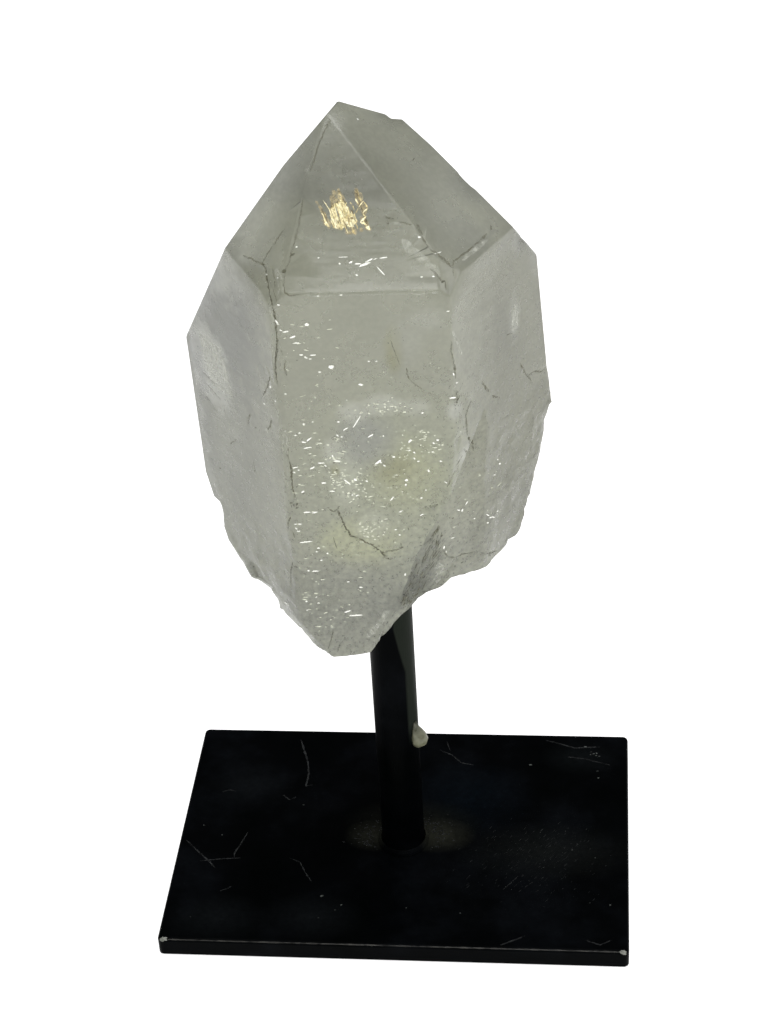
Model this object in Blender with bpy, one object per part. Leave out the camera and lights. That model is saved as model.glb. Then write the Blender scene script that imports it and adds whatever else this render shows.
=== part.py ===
# A natural quartz point held up by a round black rod on a rectangular black steel plate.
# Metres, +Z up. The origin is the middle of the plate's underside. The crystal's broadest
# prism face looks along -Y, and azimuths are counted from there towards +X.
import math

import bmesh
import bpy
from mathutils import Matrix, Vector, noise

MM = 0.001

PLATE_WIDTH = 102.0 * MM
PLATE_DEPTH = 70.0 * MM
PLATE_THICKNESS = 4.8 * MM
PLATE_CORNER_RADIUS = 1.2 * MM
PLATE_EDGE_RADIUS = 0.7 * MM

ROD_RADIUS = 4.75 * MM
ROD_AXIS = Vector((0.3, -2.25, 0.0)) * MM
ROD_TOP = 85.7 * MM
ROD_END_BEVEL = 0.4 * MM

GAP = 0.3 * MM

WELD_REACH = 0.75 * MM
WELD_HEIGHT = 1.2 * MM

# The crystal's faces are measured from this point, which is 125 mm above the table.
CRYSTAL_MIDDLE = Vector((0.0, 0.0, 125.0)) * MM
SOCKET_DEPTH_Z = 86.0 * MM
SOCKET_CLEARANCE = 0.3 * MM
EDGE_WEAR = 0.35 * MM

# name: azimuth in degrees, rise of the face's normal in degrees, distance in mm
PRISM_FACES = {
    "front prism": (3.0, 0.0, 27.5),
    "left prism": (-52.0, 0.0, 28.8),
    "right prism": (63.0, 0.0, 27.7),
    "back right prism": (123.0, 6.7, 30.75),
    "back prism": (183.0, 0.0, 29.0),
    "back left prism": (-117.0, -3.0, 32.3),
}
TERMINATION_FACES = {
    "front rhomb": (3.0, 38.2, 43.7),
    "left rhomb": (-40.0, 39.0, 45.7),
    "right rhomb": (63.0, 50.0, 46.4),
    "back right rhomb": (123.0, 38.2, 40.0),
    "back rhomb": (183.0, 38.2, 35.4),
    "back left rhomb": (-110.0, 32.0, 34.9),
}
CORNER_FACES = {
    "worn front left edge": (-24.0, 0.0, 31.3),
    "front left corner": (-30.0, 20.0, 40.7),
    "front right corner": (33.0, 33.0, 45.3),
    "worn left of the point": (-104.4, 39.8, 41.0),
    "worn right shoulder": (119.6, 36.3, 39.2),
}
BREAK_FACES = {
    "left break": (-97.0, -20.5, 40.2),
    "left underside": (-54.0, -28.0, 42.6),
    "left lower break": (-58.8, -24.9, 41.65),
    "underside": (55.0, -76.0, 47.9),
    "back underside": (175.0, -50.0, 48.0),
    "lower right": (61.0, -5.0, 27.6),
    "lower back right": (117.5, -15.5, 34.0),
    "right underside": (101.0, -37.0, 42.2),
    "back right underside": (170.0, -35.0, 44.0),
}
# The lower right of the crystal is a step: it sits further back than the front face and ends
# higher. What lies beyond the wall, outside the step's two faces and outside those of the
# slanting foot next to the wall is broken away.
STEP_WALL = (89.0, -24.5, 18.5)
STEP_FACES = {
    "step front": (30.0, -6.0, 25.2),
    "step underside": (-90.0, -81.5, 31.9),
}
STEP_FOOT_FACES = {
    "foot front": (33.0, -4.0, 24.6),
    "foot underside": (90.0, -58.0, 36.9),
}

# Conchoidal chips: point on the surface in mm, azimuth and rise in degrees of the blow,
# depth and radius of the dish in mm, and how much longer than wide it is. The long side
# points upwards, or along the azimuth and rise that follow.
CHIPS = (
    ((19.2, -1.4, 169.3), 123.0, 34.0, 0.8, 6.0, 1.2),
    ((21.8, -1.6, 166.9), 121.0, 34.0, 0.8, 10.0, 1.0),
    ((29.3, -2.6, 158.4), 117.0, 36.0, 0.6, 7.0, 1.0),
    ((-33.4, -3.9, 98.2), -64.0, -27.0, 1.0, 5.0, 4.0, 7.0, 35.0),
    ((-24.5, -15.5, 89.5), -62.0, -40.0, 1.7, 6.5, 1.3),
    ((-24.0, -9.0, 80.2), -60.0, -27.0, 2.0, 8.0, 9.0, 7.0, 35.0),
    ((5.9, 0.6, 181.4), 155.0, 50.0, 0.5, 14.0, 3.0, 7.0, 35.0),
    ((-15.0, -26.5, 83.5), -45.0, -40.0, 1.2, 6.0, 1.2),
    ((2.5, -27.0, 83.0), 60.0, -35.0, 1.6, 6.0, 1.3),
    ((-16.5, -26.2, 163.5), -50.0, 25.0, 0.7, 3.0, 1.3),
    ((-12.0, -25.8, 164.0), -30.0, 35.0, 0.6, 2.6, 1.2),
    ((-15.4, -27.8, 141.0), -26.0, 0.0, 0.6, 3.6, 1.6),
    ((-15.4, -27.8, 114.5), -26.0, -4.0, 0.7, 4.0, 1.4),
    ((18.0, -26.4, 138.0), 33.0, 5.0, 0.8, 3.4, 1.3),
    ((19.0, -25.5, 128.5), 50.0, -8.0, 1.3, 4.5, 1.2),
    ((33.4, 4.5, 114.0), 92.0, -8.0, 0.8, 5.0, 1.4),
    ((29.3, 0.6, 95.0), 92.0, -22.0, 1.2, 5.0, 1.2),
    ((25.5, -3.5, 88.5), 90.0, -45.0, 0.6, 5.0, 1.3),
    ((-3.0, -5.0, 187.0), 170.0, 60.0, 0.4, 2.5, 1.2),
    ((24.0, 22.0, 104.0), 150.0, -12.0, 2.4, 10.0, 1.3),
    ((-17.0, 27.0, 92.0), -160.0, -30.0, 3.0, 11.0, 1.2),
    ((-33.0, 12.0, 118.0), -115.0, -5.0, 0.9, 7.0, 1.5),
    ((6.0, 28.5, 128.0), 178.0, 0.0, 0.8, 8.0, 1.3),
)

# Below this sloping level the crystal's skin is broken and rough.
ROUGH_LEVEL = 112.0 * MM
ROUGH_RISE_PER_X = 0.5
ROUGH_RISE_PER_Y = -0.2
ROUGH_CUTS = 150
ROUGH_CUT_REACH = 13.0 * MM
# azimuth and rise in degrees, distance from the crystal's middle in mm
ROUGH_FIRST_CUTS = (
    (90.0, 6.0, -24.0),
    (84.0, -7.0, -13.0),
    (97.0, 4.0, -3.0),
    (88.0, -5.0, 9.0),
    (95.0, 8.0, 20.0),
    (4.0, -6.0, -19.0),
    (-5.0, 7.0, -8.0),
    (6.0, -4.0, 4.0),
    (-3.0, 5.0, 16.0),
    (40.0, 80.0, -2.0),
    (130.0, 76.0, -12.0),
    (-60.0, 82.0, -22.0),
    (10.0, 78.0, -32.0),
    (200.0, 81.0, -41.0),
)
ROUGH_FADE = 9.0 * MM
ROUGH_ON_SIDES = 0.6 * MM
ROUGH_UNDERNEATH = 1.5 * MM

# The glue drop lies against the rod: height in mm, azimuth, half width in degrees, thickness in mm
GLUE_LEVELS = (
    (34.2, 62.0, 6.0, 0.5),
    (34.7, 62.0, 13.0, 1.9),
    (35.8, 62.0, 17.5, 3.1),
    (37.2, 62.0, 19.0, 3.5),
    (38.6, 61.5, 17.5, 3.0),
    (39.8, 61.0, 14.5, 2.0),
    (40.9, 60.5, 10.5, 1.0),
    (42.4, 60.0, 6.0, 0.4),
)
GLUE_POINTS_ACROSS = 8


def clear_scene():
    for existing in list(bpy.data.objects):
        bpy.data.objects.remove(existing, do_unlink=True)


def make_material(name, colour, roughness, metallic=0.0, transmission=0.0, ior=1.45):
    material = bpy.data.materials.new(name)
    material.use_nodes = True
    shader = material.node_tree.nodes["Principled BSDF"]
    shader.inputs["Base Color"].default_value = (*colour, 1.0)
    shader.inputs["Roughness"].default_value = roughness
    shader.inputs["Metallic"].default_value = metallic
    shader.inputs["Transmission Weight"].default_value = transmission
    shader.inputs["IOR"].default_value = ior
    return material


def object_from(name, bm, material, smooth=False):
    mesh = bpy.data.meshes.new(name)
    bm.to_mesh(mesh)
    bm.free()
    made = bpy.data.objects.new(name, mesh)
    bpy.context.scene.collection.objects.link(made)
    if material:
        mesh.materials.append(material)
    if smooth:
        mesh.shade_smooth()
        mesh.set_sharp_from_angle(angle=math.radians(35.0))
    return made


def direction(azimuth, rise):
    turn = math.radians(azimuth)
    lift = math.radians(rise)
    return Vector((math.sin(turn) * math.cos(lift), -math.cos(turn) * math.cos(lift), math.sin(lift)))


def solid_between_faces(faces, rough_size=0.3):
    """A convex block: a large cube cut off at each face in turn."""
    bm = bmesh.new()
    bmesh.ops.create_cube(bm, size=rough_size, matrix=Matrix.Translation(CRYSTAL_MIDDLE))
    for azimuth, rise, distance in faces.values():
        outward = direction(azimuth, rise)
        everything = bm.verts[:] + bm.edges[:] + bm.faces[:]
        cut = bmesh.ops.bisect_plane(
            bm,
            geom=everything,
            dist=1e-7,
            plane_co=CRYSTAL_MIDDLE + outward * distance * MM,
            plane_no=outward,
            clear_outer=True,
        )
        rim = [piece for piece in cut["geom_cut"] if isinstance(piece, bmesh.types.BMEdge)]
        if rim:
            bmesh.ops.contextual_create(bm, geom=rim)
    bmesh.ops.recalc_face_normals(bm, faces=bm.faces[:])
    return bm


def wear_edges(bm, width):
    bmesh.ops.bevel(
        bm,
        geom=bm.edges[:],
        offset=width,
        segments=1,
        profile=0.5,
        affect="EDGES",
        clamp_overlap=True,
        material=-1,
    )


def combine(target, other, operation):
    """Applies one exact Boolean and removes the other shape."""
    step = target.modifiers.new(operation.lower(), "BOOLEAN")
    step.operation = operation
    step.solver = "EXACT"
    step.object = other
    graph = bpy.context.evaluated_depsgraph_get()
    result = bpy.data.meshes.new_from_object(target.evaluated_get(graph))
    target.modifiers.clear()
    before = target.data
    target.data = result
    bpy.data.meshes.remove(before)
    spent = other.data
    bpy.data.objects.remove(other, do_unlink=True)
    bpy.data.meshes.remove(spent)


def chip_cutter(point, azimuth, rise, depth, radius, stretch, *lengthwise):
    """A lumpy ellipsoid whose surface leaves a shallow dish of the given depth."""
    outward = direction(azimuth, rise)
    upright = outward.to_track_quat("Z", "Y").to_matrix().to_4x4()
    if lengthwise:
        across = direction(*lengthwise).cross(outward).normalized()
        upright = Matrix((across, outward.cross(across), outward)).transposed().to_4x4()
    bm = bmesh.new()
    bmesh.ops.create_icosphere(bm, subdivisions=2, radius=1.0)
    for vertex in bm.verts:
        vertex.co *= 1.0 + 0.09 * noise.noise(vertex.co * 1.7 + Vector(point) * 0.37)
    size = Matrix.Diagonal((radius, radius * stretch, radius, 1.0)) @ Matrix.Scale(MM, 4)
    centre = Vector(point) * MM + outward * (radius - depth) * MM
    bmesh.ops.transform(bm, matrix=Matrix.Translation(centre) @ upright @ size, verts=bm.verts[:])
    bmesh.ops.recalc_face_normals(bm, faces=bm.faces[:])
    return object_from("chip", bm, None)


def rough_level(point):
    return ROUGH_LEVEL + ROUGH_RISE_PER_X * point.x + ROUGH_RISE_PER_Y * point.y


def roughen_lower_end(bm):
    """Splits the skin below the rough level into uneven facets and pushes their corners about."""
    lean = Vector((-ROUGH_RISE_PER_X, -ROUGH_RISE_PER_Y, 1.0)).normalized()
    start = Vector((0.0, 0.0, ROUGH_LEVEL))
    everything = bm.verts[:] + bm.edges[:] + bm.faces[:]
    bmesh.ops.bisect_plane(bm, geom=everything, dist=1e-6, plane_co=start, plane_no=lean)
    for azimuth, rise, offset in ROUGH_FIRST_CUTS:
        below = [face for face in bm.faces if face.calc_center_median().z < rough_level(face.calc_center_median())]
        edges = {edge for face in below for edge in face.edges}
        corners = {vertex for face in below for vertex in face.verts}
        outward = direction(azimuth, rise)
        bmesh.ops.bisect_plane(
            bm,
            geom=sorted(corners, key=lambda v: v.index) + sorted(edges, key=lambda e: e.index) + below,
            dist=0.3 * MM,
            plane_co=CRYSTAL_MIDDLE + outward * offset * MM,
            plane_no=outward,
        )
        bm.verts.index_update()
        bm.edges.index_update()
    for number in range(ROUGH_CUTS):
        seed = Vector((number * 3.17 + 0.5, number * 1.31, 7.7))
        tilt = noise.noise_vector(seed).normalized()
        turn = number * 2.399963
        height = 74.0 + 54.0 * ((number * 0.618034) % 1.0)
        middle = Vector((30.0 * math.cos(turn), 27.0 * math.sin(turn), height)) * MM
        if number % 3 == 0:
            middle = Vector((middle.x * 0.6, middle.y * 0.6, 78.0 * MM))
        near = []
        for face in bm.faces:
            place = face.calc_center_median()
            if place.z < rough_level(place) and (place - middle).length < ROUGH_CUT_REACH:
                near.append(face)
        edges = {edge for face in near for edge in face.edges}
        corners = {vertex for face in near for vertex in face.verts}
        bmesh.ops.bisect_plane(
            bm,
            geom=sorted(corners, key=lambda v: v.index) + sorted(edges, key=lambda e: e.index) + near,
            dist=0.3 * MM,
            plane_co=middle,
            plane_no=tilt,
        )
        bm.verts.index_update()
        bm.edges.index_update()
    bmesh.ops.triangulate(bm, faces=bm.faces[:], quad_method="BEAUTY", ngon_method="BEAUTY")
    bm.normal_update()
    pushes = {}
    for vertex in bm.verts:
        depth = rough_level(vertex.co) - vertex.co.z
        if depth <= 0.0:
            continue
        fade = min(1.0, depth / ROUGH_FADE)
        under = max(0.0, min(1.0, -vertex.normal.z * 1.6))
        reach = ROUGH_ON_SIDES + (ROUGH_UNDERNEATH - ROUGH_ON_SIDES) * under
        coarse = noise.noise(vertex.co / (9.0 * MM))
        fine = noise.noise(vertex.co / (2.6 * MM) + Vector((5.0, 1.0, 3.0)))
        pushes[vertex] = vertex.normal * reach * fade * (coarse + 0.5 * fine)
    for vertex, push in pushes.items():
        vertex.co += push


def round_bar(centre, radius, bottom, top, segments):
    bm = bmesh.new()
    height = top - bottom
    place = Matrix.Translation((centre.x, centre.y, bottom + height / 2.0))
    bmesh.ops.create_cone(
        bm,
        cap_ends=True,
        segments=segments,
        radius1=radius,
        radius2=radius,
        depth=height,
        matrix=place,
    )
    return bm


def build_crystal():
    quartz = make_material("Quartz", (0.60, 0.60, 0.53), 0.18, transmission=0.7, ior=1.544)
    body = solid_between_faces({**PRISM_FACES, **TERMINATION_FACES, **CORNER_FACES, **BREAK_FACES})
    wear_edges(body, EDGE_WEAR)
    crystal = object_from("crystal", body, quartz)

    azimuth, rise, distance = STEP_WALL
    beyond_wall = {"wall": (azimuth + 180.0, -rise, -distance)}
    missing = object_from("missing", solid_between_faces(beyond_wall, 0.26), None)
    step = object_from("step", solid_between_faces(STEP_FACES, 0.32), None)
    foot = object_from("foot", solid_between_faces(STEP_FOOT_FACES, 0.30), None)
    combine(missing, step, "DIFFERENCE")
    combine(missing, foot, "DIFFERENCE")
    combine(crystal, missing, "DIFFERENCE")

    for chip in CHIPS:
        combine(crystal, chip_cutter(*chip), "DIFFERENCE")

    bm = bmesh.new()
    bm.from_mesh(crystal.data)
    bmesh.ops.remove_doubles(bm, verts=bm.verts[:], dist=0.02 * MM)
    bmesh.ops.dissolve_limit(
        bm,
        angle_limit=math.radians(0.3),
        use_dissolve_boundaries=False,
        verts=bm.verts[:],
        edges=bm.edges[:],
    )
    roughen_lower_end(bm)
    bm.to_mesh(crystal.data)
    bm.free()

    hole = round_bar(ROD_AXIS, ROD_RADIUS + SOCKET_CLEARANCE, 40.0 * MM, SOCKET_DEPTH_Z, 32)
    combine(crystal, object_from("socket", hole, None), "DIFFERENCE")
    return crystal


def build_rod():
    steel = make_material("Black painted steel rod", (0.010, 0.010, 0.011), 0.32, metallic=0.0)
    bm = round_bar(Vector((0.0, 0.0, 0.0)), ROD_RADIUS, 0.0, ROD_TOP - PLATE_THICKNESS - GAP, 48)
    rims = [edge for edge in bm.edges if abs(edge.verts[0].co.z - edge.verts[1].co.z) < 1e-6]
    bmesh.ops.bevel(bm, geom=rims, offset=ROD_END_BEVEL, segments=2, profile=0.5, affect="EDGES", material=-1)
    rod = object_from("rod", bm, steel, smooth=True)
    rod.location = ROD_AXIS + Vector((0.0, 0.0, PLATE_THICKNESS + GAP))
    return rod


def build_base_plate():
    steel = make_material("Black painted steel plate", (0.008, 0.008, 0.009), 0.30, metallic=0.0)
    bm = bmesh.new()
    size = Matrix.Diagonal((PLATE_WIDTH, PLATE_DEPTH, PLATE_THICKNESS, 1.0))
    middle = Matrix.Translation((0.0, 0.0, PLATE_THICKNESS / 2.0))
    bmesh.ops.create_cube(bm, size=1.0, matrix=middle @ size)
    uprights = [edge for edge in bm.edges if abs(edge.verts[0].co.z - edge.verts[1].co.z) > 1e-6]
    bmesh.ops.bevel(
        bm, geom=uprights, offset=PLATE_CORNER_RADIUS, segments=4, profile=0.5, affect="EDGES", material=-1
    )
    top_rim = [edge for edge in bm.edges if min(v.co.z for v in edge.verts) > PLATE_THICKNESS - 1e-6]
    bmesh.ops.bevel(
        bm, geom=top_rim, offset=PLATE_EDGE_RADIUS, segments=3, profile=0.5, affect="EDGES", material=-1
    )
    bottom_rim = [edge for edge in bm.edges if max(v.co.z for v in edge.verts) < 1e-6]
    bmesh.ops.bevel(
        bm, geom=bottom_rim, offset=PLATE_EDGE_RADIUS / 2.0, segments=1, profile=0.5, affect="EDGES", material=-1
    )
    return object_from("base_plate", bm, steel, smooth=True)


def build_weld_bead():
    """A low fillet turned about the rod's axis."""
    steel = make_material("Painted weld", (0.012, 0.012, 0.013), 0.45, metallic=0.0)
    inner = ROD_RADIUS + GAP
    profile = [
        (inner, 0.0),
        (inner + WELD_REACH, 0.0),
        (inner + WELD_REACH * 0.85, WELD_HEIGHT * 0.45),
        (inner + WELD_REACH * 0.45, WELD_HEIGHT * 0.85),
        (inner, WELD_HEIGHT),
    ]
    bm = bmesh.new()
    corners = [bm.verts.new((reach, 0.0, height)) for reach, height in profile]
    loop = [bm.edges.new((corners[i], corners[(i + 1) % len(corners)])) for i in range(len(corners))]
    bmesh.ops.spin(
        bm,
        geom=corners + loop,
        cent=(0.0, 0.0, 0.0),
        axis=(0.0, 0.0, 1.0),
        angle=2.0 * math.pi,
        steps=48,
        use_merge=True,
        use_duplicate=False,
    )
    bmesh.ops.remove_doubles(bm, verts=bm.verts[:], dist=1e-6)
    bmesh.ops.recalc_face_normals(bm, faces=bm.faces[:])
    weld = object_from("weld_bead", bm, steel, smooth=True)
    weld.location = ROD_AXIS + Vector((0.0, 0.0, PLATE_THICKNESS + GAP))
    return weld


def build_glue_drip():
    """Arc-shaped sections that lie against the rod, joined from the drop's foot up to its tail."""
    glue = make_material("Hardened clear glue", (0.55, 0.56, 0.47), 0.25, transmission=0.4, ior=1.5)
    bm = bmesh.new()
    inner = ROD_RADIUS + GAP
    sections = []
    for height, azimuth, half_width, thickness in GLUE_LEVELS:
        ring = []
        for number in range(GLUE_POINTS_ACROSS + 1):
            across = -1.0 + 2.0 * number / GLUE_POINTS_ACROSS
            outward = direction(azimuth + across * half_width, 0.0)
            swell = math.sqrt(max(0.0, 1.0 - across * across))
            reach = inner + thickness * MM * (0.25 + 0.75 * swell)
            ring.append(bm.verts.new(outward * reach + Vector((0.0, 0.0, height * MM))))
        for number in range(GLUE_POINTS_ACROSS, -1, -2):
            across = -1.0 + 2.0 * number / GLUE_POINTS_ACROSS
            outward = direction(azimuth + across * half_width, 0.0)
            ring.append(bm.verts.new(outward * inner + Vector((0.0, 0.0, height * MM))))
        sections.append(ring)
    for lower, upper in zip(sections, sections[1:]):
        count = len(lower)
        for i in range(count):
            j = (i + 1) % count
            bm.faces.new((lower[i], lower[j], upper[j], upper[i]))
    bm.faces.new(list(reversed(sections[0])))
    bm.faces.new(sections[-1])
    bmesh.ops.recalc_face_normals(bm, faces=bm.faces[:])
    drip = object_from("glue_drip", bm, glue, smooth=True)
    drip.location = ROD_AXIS
    return drip


clear_scene()
build_base_plate()
build_weld_bead()
build_rod()
build_glue_drip()
build_crystal()
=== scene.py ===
import math
import random

import bmesh
import bpy
from mathutils import Matrix, Vector, kdtree, noise
from mathutils.bvhtree import BVHTree


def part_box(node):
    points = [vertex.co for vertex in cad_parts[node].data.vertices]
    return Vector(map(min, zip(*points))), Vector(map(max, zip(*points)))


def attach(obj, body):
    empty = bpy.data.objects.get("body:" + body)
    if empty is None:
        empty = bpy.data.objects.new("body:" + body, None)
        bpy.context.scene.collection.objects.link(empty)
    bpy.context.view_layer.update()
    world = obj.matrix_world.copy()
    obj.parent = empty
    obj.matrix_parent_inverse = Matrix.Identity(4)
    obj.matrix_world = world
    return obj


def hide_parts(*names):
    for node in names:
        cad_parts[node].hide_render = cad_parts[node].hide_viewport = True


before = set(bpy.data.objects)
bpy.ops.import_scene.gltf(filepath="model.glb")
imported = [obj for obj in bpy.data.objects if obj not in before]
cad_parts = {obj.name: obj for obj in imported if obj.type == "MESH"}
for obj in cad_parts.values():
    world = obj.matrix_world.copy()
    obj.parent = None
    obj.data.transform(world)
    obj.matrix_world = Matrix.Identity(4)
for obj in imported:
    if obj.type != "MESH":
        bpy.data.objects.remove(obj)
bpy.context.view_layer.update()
mm = 0.001


# sRGB hex code to the linear colour that shader sockets take
def hexColour(code):
    parts = [int(code[i:i + 2], 16) / 255 for i in (1, 3, 5)]
    return (*[c / 12.92 if c <= 0.04045 else ((c + 0.055) / 1.055) ** 2.4 for c in parts], 1.0)


# adds one node; a socket among the inputs is linked, a hex code becomes a colour, anything else is set
def addNode(tree, kind, settings=None, inputs=None):
    node = tree.nodes.new(kind)
    for key, value in (settings or {}).items():
        setattr(node, key, value)
    for key, value in (inputs or {}).items():
        if isinstance(value, bpy.types.NodeSocket):
            tree.links.new(value, node.inputs[key])
        else:
            node.inputs[key].default_value = hexColour(value) if isinstance(value, str) else value
    return node


# a surface whose colour and roughness wander between two values, in patches of that size in mm
def newMaterial(name, low, high, patch, rough, metallic=0.0):
    made = bpy.data.materials.new(name)
    made.use_nodes = True
    tree = made.node_tree
    shader = tree.nodes["Principled BSDF"]
    shader.inputs["Metallic"].default_value = metallic
    place = addNode(tree, "ShaderNodeTexCoord").outputs["Object"]
    pattern = addNode(tree, "ShaderNodeTexNoise", inputs={
        "Vector": place, "Scale": 1 / (patch * mm), "Detail": 4.0, "Roughness": 0.62}).outputs["Fac"]
    share = addNode(tree, "ShaderNodeMapRange", inputs={"Value": pattern, "From Min": 0.35, "From Max": 0.65})
    colour = addNode(tree, "ShaderNodeMix", {"data_type": "RGBA"}, {
        0: share.outputs[0], 6: low, 7: high}).outputs[2]
    tree.links.new(colour, shader.inputs["Base Color"])
    wear = addNode(tree, "ShaderNodeMapRange", inputs={
        "Value": pattern, "From Min": 0.3, "From Max": 0.7, "To Min": rough[0], "To Max": rough[1]})
    tree.links.new(wear.outputs[0], shader.inputs["Roughness"])
    return made, tree, shader, place, pattern, colour


# a thin film: its alpha wanders between least and most, and the skin under it shows through
def newFilm(name, low, high, patch, rough, least, most, metallic=0.0):
    made, tree, shader, _, pattern, _ = newMaterial(name, low, high, patch, rough, metallic)
    share = addNode(tree, "ShaderNodeMapRange", inputs={
        "Value": pattern, "From Min": 0.36, "From Max": 0.62, "To Min": least, "To Max": most})
    tree.links.new(share.outputs[0], shader.inputs["Alpha"])
    return made


# how far a point is from the middle of a patch, counted in the patch's radii; both are in mm
def awayFromPatch(tree, place, centre, radii):
    shift = addNode(tree, "ShaderNodeVectorMath", {"operation": "SUBTRACT"}, {
        0: place, 1: [c * mm for c in centre]})
    shrink = addNode(tree, "ShaderNodeVectorMath", {"operation": "DIVIDE"}, {
        0: shift.outputs[0], 1: [r * mm for r in radii]})
    away = addNode(tree, "ShaderNodeVectorMath", {"operation": "LENGTH"}, {0: shrink.outputs[0]})
    return away.outputs["Value"]


def finishPiece(name, bm, material, sharpAngle=None):
    mesh = bpy.data.meshes.new(name)
    bm.to_mesh(mesh)
    bm.free()
    made = bpy.data.objects.new(name, mesh)
    bpy.context.scene.collection.objects.link(made)
    mesh.materials.append(material)
    if sharpAngle is not None:
        mesh.shade_smooth()
        mesh.set_sharp_from_angle(angle=math.radians(sharpAngle))
    return made


cameraSettings = {
    "place": Vector((0.04467, -0.36395, 0.34967)),
    "forward": Vector((-0.09964, 0.81423, -0.57193)),
    "up": Vector((-0.00802, 0.57411, 0.81874)),
    "pixelsFocal": 2186.1,  # focal length in pixels of a frame 1024 pixels high
    "frameHigh": 1024,
    "sensor": 36.0,
}


def makeCamera():
    s = cameraSettings
    forward = s["forward"].normalized()
    right = forward.cross(s["up"]).normalized()
    data = bpy.data.cameras.new("camera")
    data.sensor_width = s["sensor"]
    data.lens = s["pixelsFocal"] / s["frameHigh"] * s["sensor"]
    data.clip_start = 0.02
    data.clip_end = 50.0
    camera = bpy.data.objects.new("camera", data)
    turn = Matrix((right, right.cross(forward), -forward)).transposed()
    camera.matrix_world = Matrix.Translation(s["place"]) @ turn.to_4x4()
    bpy.context.scene.collection.objects.link(camera)
    bpy.context.scene.camera = camera


makeCamera()

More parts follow.
